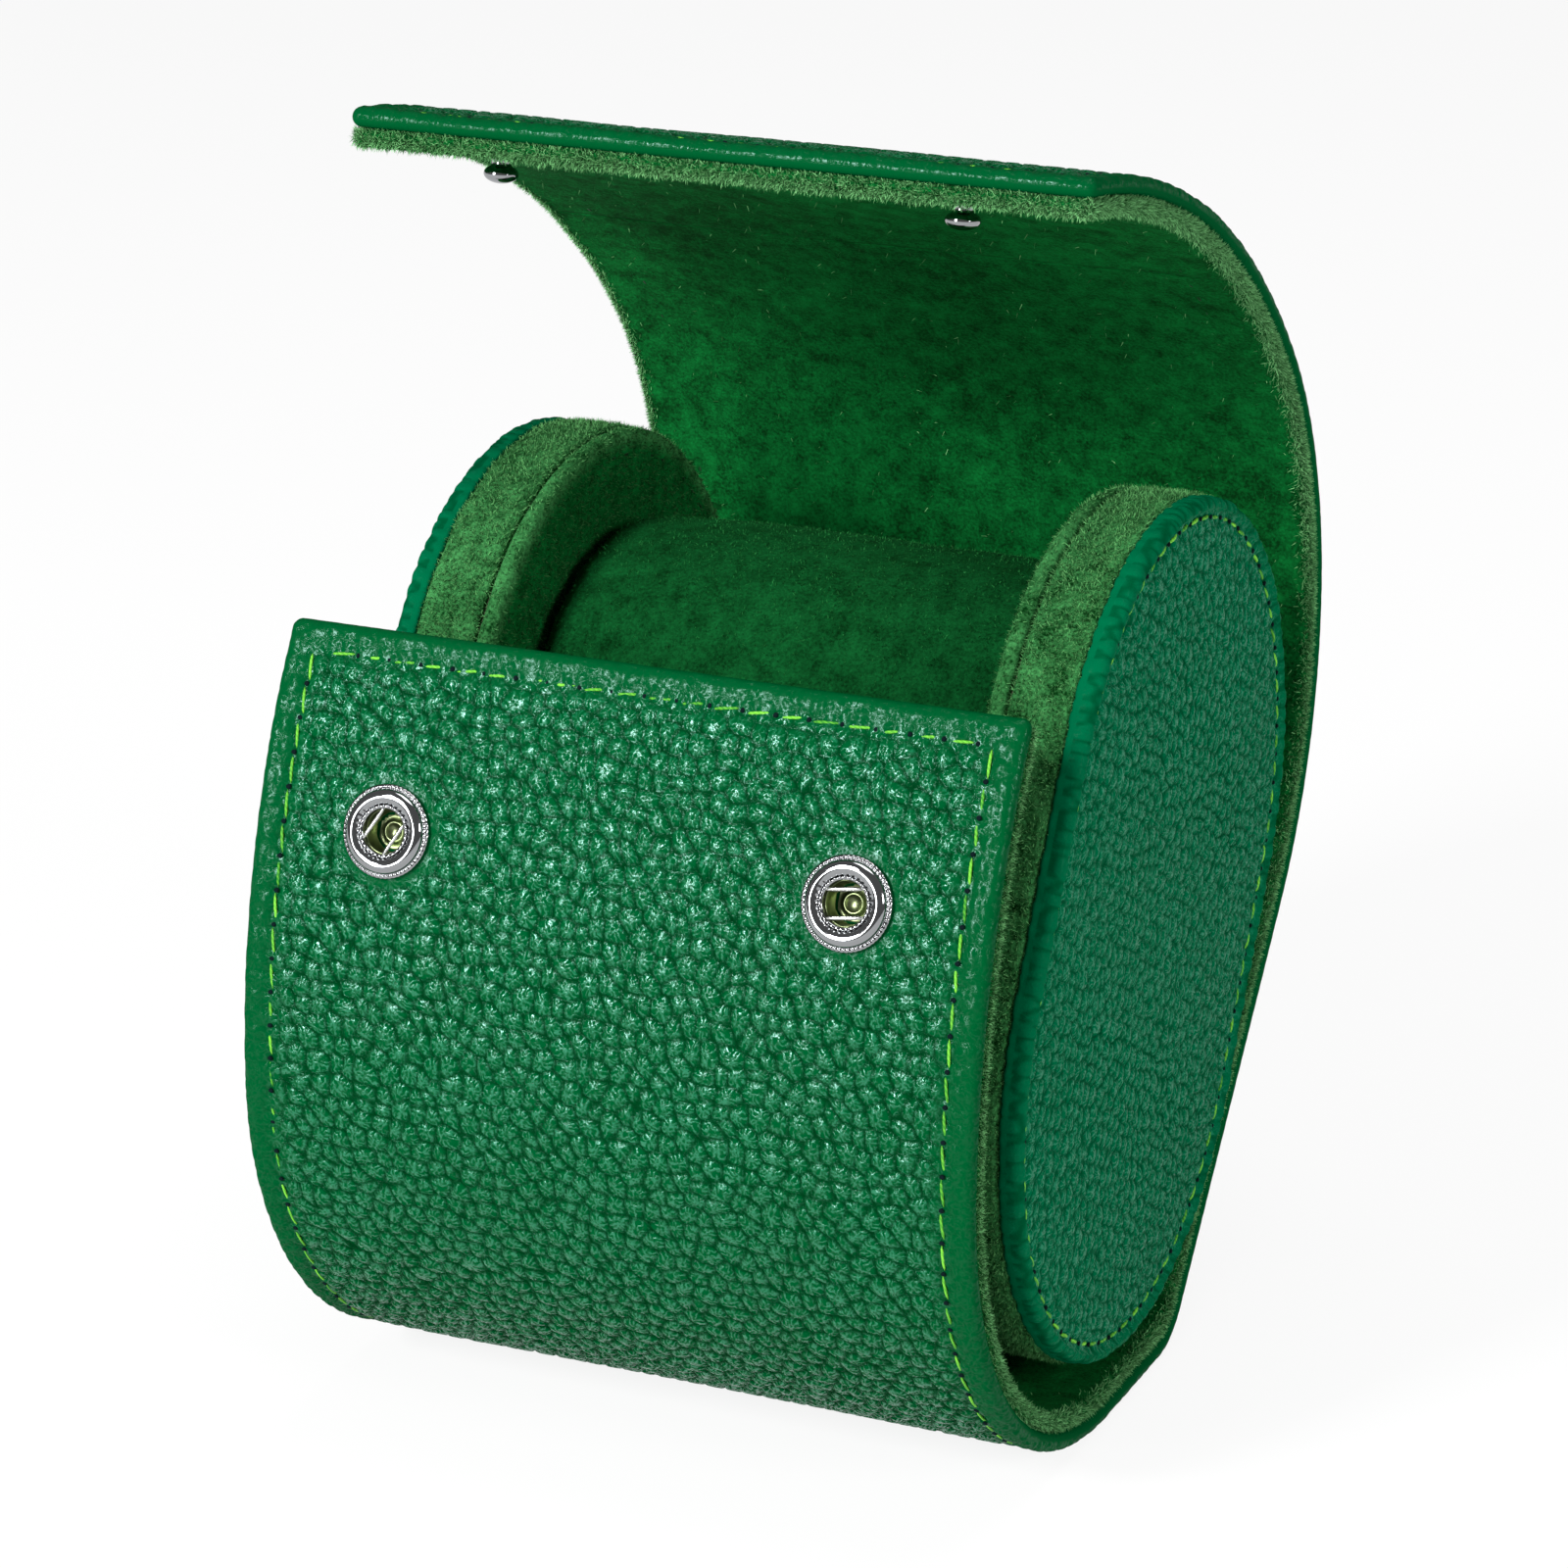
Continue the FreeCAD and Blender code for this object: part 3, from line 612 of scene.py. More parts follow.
def outline_columns(step, radius, straight):
    """Place along the middle line and direction angle of each column round a stadium."""
    flank, arc = int(straight / step), int(math.pi * radius / step)
    half = straight / 2
    up = np.linspace(-half, half, flank, endpoint=False)
    turn = np.linspace(0, math.pi, arc, endpoint=False)
    along = np.concatenate([up, np.full(arc, half), -up, np.full(arc, -half)])
    angle = np.concatenate([np.zeros(flank), turn, np.full(flank, math.pi), math.pi + turn])
    return along, angle


def around(middle, x, reach, along, angle):
    """Points at a distance from the middle line, in the direction of each column, at x."""
    x, reach, along, angle = np.broadcast_arrays(x, reach, along, angle)
    across = reach * np.cos(angle)
    up = along + reach * np.sin(angle)
    return middle + x[..., None] * [1.0, 0, 0] + across[..., None] * CROSS + up[..., None] * LONG


# %% [markdown]
# ## Carrying a profile round
# A profile is a row of points from a disc's middle outwards and back, put together from straight runs
# and round corners. Carried round the outline, it becomes a surface. A relief then moves the points
# along the profile's normal, and may keep values for the shaders.

# %% Profiles


def round_corner(centre, radius, start, stop, count):
    """Points of an arc in the profile's plane, angles in degrees from outwards towards the pillow side."""
    a = np.radians(np.linspace(start, stop, count))
    return np.stack([centre[0] + radius * np.cos(a), centre[1] + radius * np.sin(a)], -1)


def stepped(start, stop, step):
    """Evenly spaced points of a straight run of a profile."""
    start, stop = np.array(start, float), np.array(stop, float)
    count = max(2, int(np.linalg.norm(stop - start) / step) + 1)
    return start + (stop - start) * np.linspace(0, 1, count)[:, None]


def disc_surface(name, profile, side, face_x, step, closed_ring=False, relief=None, radius=DISC_RADIUS,
                 straight=DISC_STRAIGHT, middle=None):
    """Profile of (reach, depth behind the face) carried round the outline; relief moves it outwards."""
    along, angle = outline_columns(step, radius, straight)
    reach, depth = profile[:, :1], profile[:, 1:]
    run = np.concatenate([[0], np.cumsum(np.hypot(*np.diff(profile, axis=0).T))])[:, None]
    girth = np.where(np.cos(angle) > 0, 1, -1) * along + radius * np.unwrap(angle)
    values = {}
    if relief is not None:
        slope = np.gradient(profile, axis=0)
        normal = np.stack([slope[:, 1], -slope[:, 0]], -1) / np.maximum(np.hypot(*slope.T), 1e-9)[:, None]
        out, kept = relief(reach, depth, along, angle, run, girth[None, :])
        reach = reach + out * normal[:, :1]
        depth = depth + out * normal[:, 1:]
        values = {key: np.broadcast_to(array, reach.shape).ravel() for key, array in kept.items()}
    reach, depth = np.broadcast_arrays(reach, depth + 0 * along[None, :])
    middle = DISC_MIDDLE if middle is None else middle
    points = around(middle, face_x - side * depth, reach, along[None, :], angle[None, :])
    index = np.arange(points.shape[0] * points.shape[1]).reshape(points.shape[:2])
    if closed_ring:
        index = np.concatenate([index, index[:1]])
    return add_piece(name, points.reshape(-1, 3), ring_quads(index).tolist(), weld=True, values=values)


# %% [markdown]
# ## Layers of a disc
# A disc is made like a drum: leather drawn over a board and turned down round its rim, a band of suede
# round the wall, and a padded suede disc on the inner side. Each layer is one profile from the middle
# outwards, and what happens to it, such as grain, pleats or the furrow of the seam, is a relief on it.

# %% Disc layers
DISC_STITCH_INSET, DISC_FURROW_WIDTH = 2.3, 0.7
DISC_GRAIN, DISC_GRAIN_DEPTH = 1.9, 0.26
PLEAT_SIZE, PLEAT_DEPTH = 1.9, 0.20
FACE_DOME, RIM_ROLL, RIM_HEM = 0.35, 1.25, 0.45
BAND_EDGE, BAND_BACK = 0.9, 2.4


def face_relief(reach, depth, along, angle, run, girth):
    """Fine grain on the face, pleats where the leather turns over the rim, and the stitch furrow."""
    flat_u = reach * np.cos(angle)
    flat_v = along + reach * np.sin(angle)
    grain, values = leather_grain(flat_u, flat_v, DISC_GRAIN, 4)
    pleat, folds = leather_grain(girth, 0.32 * run, PLEAT_SIZE, 9)
    rim = ramp(reach, DISC_RADIUS - 2.0, 0.8)
    pleated = PLEAT_DEPTH * pleat * rim
    furrow = FURROW_DEPTH * bell(reach, DISC_RADIUS - DISC_STITCH_INSET, DISC_FURROW_WIDTH) * (depth < 1.0)
    front = (depth < 2.0).astype(float)
    out = DISC_GRAIN_DEPTH * grain * (1 - rim) + pleated - furrow
    dome = FACE_DOME * np.clip(1 - (reach / (DISC_RADIUS - 4.0)) ** 4, 0, 1)
    values["crease"] = (values["crease"] * (1 - rim) + folds["crease"] * rim) * front
    values["wrinkle"] = (1 - 0.7 * rim) * front
    return (out + dome) * front + pleated * (1 - front), values


def band_relief(reach, depth, along, angle, run, girth):
    """Soft waviness of the suede wall."""
    return 0.10 * soft_noise(girth, run, 5.0, 41), {}


def inner_relief(reach, depth, along, angle, run, girth):
    """The same waviness, and a value that marks the rolled edge, where the suede is painted paler as a
    painted sheen.
    """
    out, _ = band_relief(reach, depth, along, angle, run, girth)
    return out, {"rim": ramp(reach, DISC_RADIUS - 2.2, 0.9)}


# %% [markdown]
# ## Both discs
# The same three profiles make both ends: only their place and the side that they face differ. Every
# layer stands for its solid, which is hidden.

# %% Build the discs


def disc_pieces(label, side, face_x):
    """Leather face, suede band and padded inner disc of one end."""
    edge = DISC_RADIUS - RIM_ROLL
    leather_profile = np.concatenate([
        stepped((0, FACE_DOME), (edge - 0.4, FACE_DOME), 0.42),
        round_corner((edge, RIM_ROLL), RIM_ROLL, -90, 0, 9),
        stepped((DISC_RADIUS, RIM_ROLL + 0.2), (DISC_RADIUS, RIM_TURN - 0.5), 0.25),
        round_corner((DISC_RADIUS - RIM_HEM, RIM_TURN - RIM_HEM), RIM_HEM, 20, 90, 4),
        stepped((DISC_RADIUS - 1.4, RIM_TURN), (0, RIM_TURN), 6.0)])
    face = disc_surface(f"{label}_leather", leather_profile, side, face_x, 0.44, relief=face_relief)
    wall = DISC_RADIUS - 0.15
    start, stop = RIM_TURN - 0.25, RIM_TURN + WALL_WIDTH - 0.15
    band_profile = np.concatenate([
        round_corner((wall - BAND_EDGE, start + BAND_EDGE), BAND_EDGE, -90, 0, 6),
        stepped((wall, start + 1.3), (wall, stop - 1.3), 0.6),
        round_corner((wall - BAND_EDGE, stop - BAND_EDGE), BAND_EDGE, 0, 90, 6),
        stepped((wall - BAND_BACK, stop), (wall - BAND_BACK, start), 3.0)])
    band = disc_surface(f"{label}_band", band_profile, side, face_x, 0.6, True, band_relief)
    rim = DISC_RADIUS - 0.25
    roll = INNER_THICK / 2
    inner_profile = np.concatenate([
        stepped((0, DISC_THICK - INNER_THICK), (rim - roll - 0.3, DISC_THICK - INNER_THICK), 8.0),
        round_corner((rim - roll, DISC_THICK - roll), roll, -90, 90, 13),
        stepped((rim - roll - 0.5, DISC_THICK), (0, DISC_THICK), 0.9)])
    inner = disc_surface(f"{label}_inner", inner_profile, side, face_x, 0.6, relief=inner_relief)
    return face, band, inner


discs = {label: disc_pieces(label, side, face_x) for label, side, face_x, _ in DISC_ENDS}
for label, (face, band, inner) in discs.items():
    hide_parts(f"{label}_face_leather")
    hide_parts(f"{label}_suede_band")
    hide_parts(f"{label}_inner_suede")

# %% [markdown]
# ## Seams of the discs
# One seam runs round the leather face, inside the rolled rim, and another round the padded inner disc.
# Stitches are set at even steps along the outline, whose straight flanks and round ends are one walk.

# %% Disc seams
DISC_PITCH, SEAM_SINK, INNER_SEAM_INSET = 3.3, 0.55, 3.0


def disc_seam(inset, x, way):
    """Centres, directions and normals of stitches round a disc, an inset from its rim, facing a way."""
    reach = DISC_RADIUS - inset
    girth = 2 * DISC_STRAIGHT + 2 * math.pi * reach
    count = int(girth / DISC_PITCH)
    walk = np.arange(count) * girth / count
    legs = np.cumsum([0, DISC_STRAIGHT, math.pi * reach, DISC_STRAIGHT, math.pi * reach])
    half = DISC_STRAIGHT / 2
    along = np.interp(walk, legs, [-half, half, half, -half, -half])
    angle = np.interp(walk, legs, [0, 0, math.pi, math.pi, 2 * math.pi])
    centre = around(DISC_MIDDLE, np.full(count, x), reach, along, angle)
    direction = -np.sin(angle)[:, None] * CROSS + np.cos(angle)[:, None] * LONG
    return centre, direction, np.tile([float(way), 0, 0], (count, 1))


disc_seams = []
for label, side, face_x, body in DISC_ENDS:
    axes = disc_seam(DISC_STITCH_INSET, face_x - side * SEAM_SINK, side)
    disc_seams.append((sew(f"{label}_stitches", *axes, length=2.3, thread=0.21), body))
    disc_seams.append((needle_holes(f"{label}_needle_holes", *axes, DISC_PITCH), body))
    axes = disc_seam(INNER_SEAM_INSET, face_x - side * DISC_THICK, -side)
    disc_seams.append((sew(f"{label}_inner_stitches", *axes, length=1.8, thread=0.22), body))
print("seams of the discs:", len(disc_seams))

# %% [markdown]
# ## The pillow
# The pillow is firm foam in a suede cover. It swells a little at mid length and is drawn in at its ends,
# where the cover is gathered over the foam. A simulation would hardly move such a firm body, so its form
# is a formula: the profile of a barrel with round shoulders, carried round the same kind of outline.

# %% Pillow
PILLOW_RADIUS, PILLOW_STRAIGHT, PILLOW_RISE = 25.5, 15.0, 4.5
PILLOW_CROWN, PILLOW_SHOULDER, PILLOW_GAP = 1.0, 3.2, 0.6
PILLOW_MIDDLE = DISC_MIDDLE + PILLOW_RISE * LONG
pillow_left = LEFT_FACE + DISC_THICK + PILLOW_GAP
pillow_right = RIGHT_FACE - DISC_THICK
pillow_length = pillow_right - pillow_left


def pillow_relief(reach, depth, along, angle, run, girth):
    """Barrel swell along the length, slow waves of the cover and short gathers at both ends."""
    barrel = np.clip(1 - (2 * depth / pillow_length - 1) ** 6, 0, 1)
    swell = PILLOW_CROWN * barrel * (reach > PILLOW_RADIUS - 4)
    wave = 0.16 * soft_noise(girth, run, 11.0, 51) + 0.08 * soft_noise(girth, run, 3.5, 52)
    end = np.exp(-np.minimum(depth, pillow_length - depth) / 3.0)
    gather = 0.25 * end * soft_noise(girth, 0.15 * run, 2.4, 53)
    return swell + wave + gather, {}


shoulder = PILLOW_RADIUS - PILLOW_SHOULDER
pillow_profile = np.concatenate([
    stepped((0, 0), (shoulder - 0.8, 0), 3.0),
    round_corner((shoulder, PILLOW_SHOULDER), PILLOW_SHOULDER, -90, 0, 10),
    stepped((PILLOW_RADIUS, PILLOW_SHOULDER + 0.6),
            (PILLOW_RADIUS, pillow_length - PILLOW_SHOULDER - 0.6), 0.8),
    round_corner((shoulder, pillow_length - PILLOW_SHOULDER), PILLOW_SHOULDER, 0, 90, 10),
    stepped((shoulder - 0.8, pillow_length), (0, pillow_length), 3.0)])
pillow = disc_surface("pillow", pillow_profile, 1, pillow_right, 0.7, relief=pillow_relief,
                      radius=PILLOW_RADIUS, straight=PILLOW_STRAIGHT, middle=PILLOW_MIDDLE)
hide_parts("pillow_cover")
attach(pillow, "spool")

# %% [markdown]
# ## The snaps
# A socket cap is stamped from thin brass and chromed: a domed ring with a knurled rim and a ring of beads
# round its mouth, where two spring wires cross. It is a turned profile whose height ripples with the
# angle at the two beaded radii. The stud is a small polished mushroom.

# %% Turned snap pieces
KNURLS, BEADS = (60, 4.72, 0.16), (30, 2.86, 0.20)
RIPPLE_WIDTH, CAP_EDGE = 0.16, 0.12


def turned(profile, origin, axis, sides, ripple=None):
    """Profile of (radius, height) points turned round an axis; a ripple adds height."""
    axis = axis / np.linalg.norm(axis)
    first = np.array([1.0, 0, 0])
    second = np.cross(axis, first)
    angle = np.linspace(0, 2 * math.pi, sides, endpoint=False)[None, :]
    radius, height = profile[:, :1] + 0 * angle, profile[:, 1:] + 0 * angle
    if ripple is not None:
        height = height + ripple(radius, height, angle)
    across, over = radius * np.cos(angle), radius * np.sin(angle)
    points = origin + across[..., None] * first + over[..., None] * second + height[..., None] * axis
    index = np.arange(points.shape[0] * sides).reshape(-1, sides)
    return points.reshape(-1, 3), ring_quads(index).tolist()


def joined(name, parts):
    """Several point-and-face sets as one piece."""
    points, faces, start = [], [], 0
    for p, f in parts:
        points.append(p)
        faces += [[v + start for v in face] for face in f]
        start += len(p)
    return add_piece(name, np.concatenate(points), faces, weld=True)


def cap_ripple(radius, height, angle):
    """Knurls on the rim and beads round the mouth (count, radius and height), on the upper side only."""
    waves = [rise * bell(radius, at, RIPPLE_WIDTH) * (0.5 + 0.5 * np.cos(count * angle))
             for count, at, rise in (KNURLS, BEADS)]
    return sum(waves) * (height > CAP_EDGE)


def cap_profile():
    """Underside, rolled rim, dished knurl ring, dome, bead ring and mouth of a socket cap."""
    dome = np.linspace(0, math.pi, 15)
    ring = np.stack([3.64 + 0.86 * np.cos(dome), 0.52 + 0.76 * np.sin(dome)], -1)
    rim = round_corner((4.78, 0.26), 0.22, -90, 90, 8)
    mouth = round_corner((2.62, 0.78), 0.24, 60, 180, 7)
    return np.concatenate([[[2.4, 0.02], [4.4, 0.02]], rim, [[4.66, 0.5], [4.56, 0.5]], ring,
                           [[2.74, 0.72]], mouth, [[2.38, 0.5], [2.4, 0.02]]])


def snap_axes(side, s, depth, outward):
    """Centre and axis of a snap on the strip."""
    _, normal = strip_frame(np.array([s]))
    centre = strip_point(np.array([side * SNAP_X]), np.array([s]), np.array([depth]))[0]
    return centre, normal[0] if outward else -normal[0]


def wire(origin, axis, turn, offset, radius=0.24, half=2.3, height=0.75):
    """A straight spring wire across the mouth, turned about the cap's axis."""
    first = np.array([1.0, 0, 0])
    second = np.cross(axis, first)
    along = math.cos(turn) * first + math.sin(turn) * second
    across = np.cross(axis, along)
    shape, faces = capsule(2 * half, radius, 9, 8)
    shape[:, 2] += height + 0.1 + 0.85 * radius * (shape[:, 0] / half) ** 2
    points = origin + shape[:, :1] * along + (shape[:, 1:2] + offset) * across + shape[:, 2:] * axis
    return points, faces


# %% [markdown]
# ## Setting the snaps
# A socket is set in the front panel and a stud under the flap's tip, so that they meet when the flap is
# shut. Both sides of the roll carry the same pieces, only the wires lie at different angles.

# %% Set the snaps
EYELET_PROFILE = np.array([
    [0.0, -1.85], [0.75, -1.85], [0.85, -1.65], [1.0, -1.55], [1.15, -1.65], [1.25, -2.02], [2.05, -2.02],
    [2.2, -0.2], [2.3, 0.12], [2.36, 0.3], [2.45, 0.12], [2.4, -2.04], [2.2, -2.07], [0.0, -2.07]])
STUD_HEAD = np.linspace(-0.95, 1.5, 20)
STUD_PROFILE = np.concatenate([
    np.array([[0.0, -0.1], [1.15, -0.1], [1.1, 0.1], [1.06, 0.3], [1.06, 0.6], [1.06, 0.86]]),
    np.stack([1.87 * np.cos(STUD_HEAD), 1.75 + 1.05 * np.sin(STUD_HEAD)], -1), np.array([[0.0, 2.81]])])
WIRE_TURN, WIRE_OFFSET = {-1: math.radians(60), 1: math.radians(8)}, 1.45
STUD_DEPTH = 4.25
caps, wires, eyelets, studs = [], [], [], []
for side in (-1, 1):
    centre, axis = snap_axes(side, SOCKET_DROP, 0.0, True)
    caps.append(turned(cap_profile(), centre, axis, 360, cap_ripple))
    eyelets.append(turned(EYELET_PROFILE, centre, axis, 48))
    wires += [wire(centre, axis, WIRE_TURN[side], offset) for offset in (-WIRE_OFFSET, WIRE_OFFSET)]
    centre, axis = snap_axes(side, STRIP_END - STUD_SETBACK, STUD_DEPTH, False)
    studs.append(turned(STUD_PROFILE, centre, axis, 48))
snap_caps = joined("snap_caps", caps)
spring_wires = joined("spring_wires", wires)
snap_eyelets = joined("snap_eyelets", eyelets)
snap_studs = joined("snap_stud_heads", studs)
for piece, node, body in (
        (snap_caps, "snap_sockets", "front_panel"), (spring_wires, "socket_springs", "front_panel"),
        (snap_eyelets, "socket_eyelets", "front_panel"), (snap_studs, "snap_studs", "flap_tip")):
    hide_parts(node)
    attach(piece, body)

# %% [markdown]
# ## Nap
# Suede is made of short fibres. On a flat face they are a texture, but along a cut edge and over a curve
# they stand against the light, so loose fibres are scattered there: each is one thin blade, leaning at
# random from the face it grows on.

# %% Fibres
NAP_FACE, ROOT_SHADE = 1.3, 0.3


def face_samples(piece, count, weight):
    """Random points on a piece's faces, in millimetres, with their normals; weight favours places."""
    mesh = piece.data
    total = len(mesh.polygons)
    centre, normal, area = np.empty(total * 3), np.empty(total * 3), np.empty(total)
    mesh.polygons.foreach_get("center", centre)
    mesh.polygons.foreach_get("normal", normal)
    mesh.polygons.foreach_get("area", area)
    centre, normal = centre.reshape(-1, 3) / MM, normal.reshape(-1, 3)
    small = area < (NAP_FACE * MM) ** 2
    chance = area * small * weight(centre, normal)
    chosen = random.choice(total, count, p=chance / chance.sum())
    spread = np.sqrt(area[chosen])[:, None] / MM
    jitter = random.normal(0, 0.32, (count, 3)) * spread
    jitter -= normal[chosen] * np.sum(jitter * normal[chosen], 1)[:, None]
    return centre[chosen] + jitter, normal[chosen]


def end_samples(count, end, way):
    """Random points with their normals on the half-round cut edge at a free end of the lining."""
    turn = random.uniform(-1.4, 1.4, count)
    s = np.full(count, end) - way * LINING_HALF * (1 - np.cos(turn))
    x = random.uniform(-0.5, 0.5, count) * (STRIP_WIDTH - 2 * LINING_INSET)
    along, out = strip_frame(s)
    normal = way * np.cos(turn)[:, None] * along - np.sin(turn)[:, None] * out
    return strip_point(x, s, LINING_MID + LINING_HALF * np.sin(turn)), normal


def nap(name, samples, length, lean=1.2, blade=0.14, shade=1.0):
    """Thin three-pointed blades, length long, leaning from the normal at each sample."""
    root, normal = samples
    count = len(root)
    direction = normal + lean * random.normal(0, 0.6, (count, 3))
    direction /= np.linalg.norm(direction, axis=1)[:, None]
    side = np.cross(direction, random.normal(0, 1, (count, 3)))
    side /= np.maximum(np.linalg.norm(side, axis=1), 1e-9)[:, None]
    reach = length * random.uniform(0.35, 1.0, count)[:, None]
    root = root - 0.06 * normal
    points = np.stack([root - blade / 2 * side, root + blade / 2 * side, root + reach * direction], 1)
    index = np.arange(3 * count).reshape(count, 3)
    mesh = bpy.data.meshes.new(name)
    mesh.from_pydata((points.reshape(-1, 3) * MM).tolist(), [], index.tolist())
    # Painted shade: the two root points of each blade are darker than its tip, as if shaded deep in the
    # pile.
    light = random.uniform(0, 1, count)[:, None] ** 1.1 * [[ROOT_SHADE, ROOT_SHADE, 1.0]] * shade
    keep_value(mesh, "tone", light.ravel())
    print(f"{name}: {count} fibres")
    return add_object(name, mesh)


# %% [markdown]
# ## Where the nap grows
# The lining shows its fibres along its cut edges, the discs and the pillow all over. The rolled edge of
# an inner disc is painted paler than its face, a painted sheen, so its fibres keep their full tone; those
# on the face that looks at the pillow are painted darker, painted shade.

# %% Grow the nap


def near_strip_edge(reach, floor):
    """Weight that favours the lining's long edges and its free ends."""
    def weight(centre, normal):
        side = STRIP_WIDTH / 2 - np.abs(centre[:, 0])
        ends = np.minimum(np.linalg.norm((centre - strip_point(0.0, 0.0, 3.0))[:, 1:], axis=1),
                          np.linalg.norm((centre - strip_point(0.0, STRIP_END, 3.0))[:, 1:], axis=1))
        return floor + bell(np.minimum(side, ends), 0, reach)
    return weight


def all_over(centre, normal):
    """The same chance everywhere."""
    return np.ones(len(centre))


def facing_pillow(side):
    """Weight for the wall and rim of an inner disc, not its hidden back."""
    def weight(centre, normal):
        return np.where(normal[:, 0] * side < 0.5, 1.0, 0.02)
    return weight


NAP_COUNT = 60000
LINING_NAP, BAND_NAP, INNER_NAP, PILLOW_NAP = 0.9, 0.8, 0.7, 0.5
END_OF = {"front": (LINING_INSET, -1), "tip": (STRIP_END - LINING_INSET, 1)}
naps = []
for span in SPANS:
    samples = face_samples(linings[span], NAP_COUNT // 2, near_strip_edge(0.9, 0.0004))
    if span in END_OF:
        ends = end_samples(NAP_COUNT // 6, *END_OF[span])
        samples = [np.concatenate(pair) for pair in zip(samples, ends)]
    naps.append((nap(f"lining_nap_{span}", samples, LINING_NAP), span))
disc_naps = []
for label, side, _, body in DISC_ENDS:
    _, band, inner = discs[label]
    disc_naps.append((nap(f"{label}_band_nap", face_samples(band, NAP_COUNT, all_over), BAND_NAP), body))
    samples = face_samples(inner, NAP_COUNT, facing_pillow(side))
    # Painted shade: fibres on the face that looks at the pillow are darker than those on the rolled edge.
    shade = np.where(np.abs(samples[1][:, :1]) < 0.8, 1.0, 0.4)
    disc_naps.append((nap(f"{label}_inner_nap", samples, INNER_NAP, shade=shade), body))
disc_naps.append((nap("pillow_nap", face_samples(pillow, NAP_COUNT, all_over), PILLOW_NAP), "spool"))

# %% [markdown]
# ## Moving with the solids
# The strip's pieces, with their stitches and fibres, have their places baked into their points. The
# pieces of the discs, with their seams and fibres, ride on one body each.

# %% Ride on the bodies
for span in SPANS:
    bend_with(leathers[span], span)
    bend_with(linings[span], span)
for piece, span in seams + naps:
    bend_with(piece, span)
for label, _, _, body in DISC_ENDS:
    for piece in discs[label]:
        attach(piece, body)
for piece, body in disc_seams + disc_naps:
    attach(piece, body)
print("pieces that bend:", 2 * len(SPANS) + len(seams) + len(naps))

# %% [markdown]
# ## Shader maths in Python
# A material's patterns are arithmetic on noise and on the values kept in the mesh. A small class wraps
# a socket so that such arithmetic can be written as it is read, and every operator adds one Math node.

# %% Socket arithmetic


class Field:
    """A value that varies over a surface: a node's output socket with arithmetic."""

    def __init__(self, tree, socket):
        self.tree = tree
        self.socket = socket

    def node(self, kind, settings=None, output=0, **inputs):
        """Add any node: settings first, then its sockets' values or links, named or as i0, i1 and so on."""
        made = self.tree.nodes.new(kind)
        for key, value in (settings or {}).items():
            setattr(made, key, value)
        for key, value in inputs.items():
            number = key[1:].isdigit() and key[0] == "i"
            target = made.inputs[int(key[1:])] if number else made.inputs[key.replace("_", " ")]
            if isinstance(value, Field):
                self.tree.links.new(value.socket, target)
            else:
                target.default_value = value
        return Field(self.tree, made.outputs[output])

    def maths(self, operation, a, b):
        """One Math node."""
        return self.node("ShaderNodeMath", {"operation": operation}, i0=a, i1=b)

    def __add__(self, other):
        return self.maths("ADD", self, other)

    def __radd__(self, other):
        return self.maths("ADD", other, self)

    def __sub__(self, other):
        return self.maths("SUBTRACT", self, other)

    def __rsub__(self, other):
        return self.maths("SUBTRACT", other, self)

    def __mul__(self, other):
        return self.maths("MULTIPLY", self, other)

    def __rmul__(self, other):
        return self.maths("MULTIPLY", other, self)

    def clamped(self):
        """Held between 0 and 1."""
        return self.node("ShaderNodeClamp", i0=self)

    def between(self, low, high):
        """0 below low, 1 above high, straight between."""
        return self.node("ShaderNodeMapRange", i0=self, i1=low, i2=high, i3=0.0, i4=1.0)

    def mix(self, low, high):
        """Colour from low to high by this value."""
        return self.node("ShaderNodeMix", {"data_type": "RGBA"}, 2, i0=self, i6=low, i7=high)


# %% [markdown]
# ## Material helpers
# Every material starts from a Principled shader. These helpers turn a screen colour into the linear one
# that a shader takes, link a Field to a shader, and fetch noise, bumps and the values kept in the mesh.

# %% Material helpers


def colour(red, green, blue):
    """A screen colour, 0 to 255, as the linear colour that a shader takes."""
    value = np.array([red, green, blue]) / 255
    linear = np.where(value <= 0.04045, value / 12.92, ((value + 0.055) / 1.055) ** 2.4)
    return (*linear.tolist(), 1.0)


def material(name, settings):
    """A material, its Principled shader with constants from settings, and a Field to start from."""
    made = bpy.data.materials.new(name)
    made.use_nodes = True
    tree = made.node_tree
    shader = tree.nodes["Principled BSDF"]
    for key, value in settings.items():
        shader.inputs[key].default_value = value
    return made, shader, Field(tree, None)


def plug(field, shader, name):
    """Link a field to one of a shader's sockets."""
    field.tree.links.new(field.socket, shader.inputs[name])


def join_shaders(made, share, first, second):
    """Surface that goes from a material's own shader to a second one by a share from 0 to 1."""
    own = Field(made.node_tree, first.outputs[0])
    both = share.node("ShaderNodeMixShader", i0=share, i1=own, i2=second)
    plug(both, made.node_tree.nodes["Material Output"], "Surface")


def kept_value(start, name):
    """A value that the mesh keeps for each point; 0 on a mesh without it."""
    return start.node("ShaderNodeAttribute", {"attribute_name": name}, 2)


def object_place(start):
    """Object coordinates, in metres."""
    return start.node("ShaderNodeTexCoord", None, 3)


def bump(start, height, strength, distance):
    """Normal from a height field; distance is the height of 1 in metres."""
    return start.node("ShaderNodeBump", Height=height, Strength=strength, Distance=distance)


def noise(start, place, scale, detail=3.0, roughness=0.55):
    """Noise from 0 to 1 at a scale in cells per metre."""
    return start.node("ShaderNodeTexNoise", Vector=place, Scale=scale, Detail=detail, Roughness=roughness)
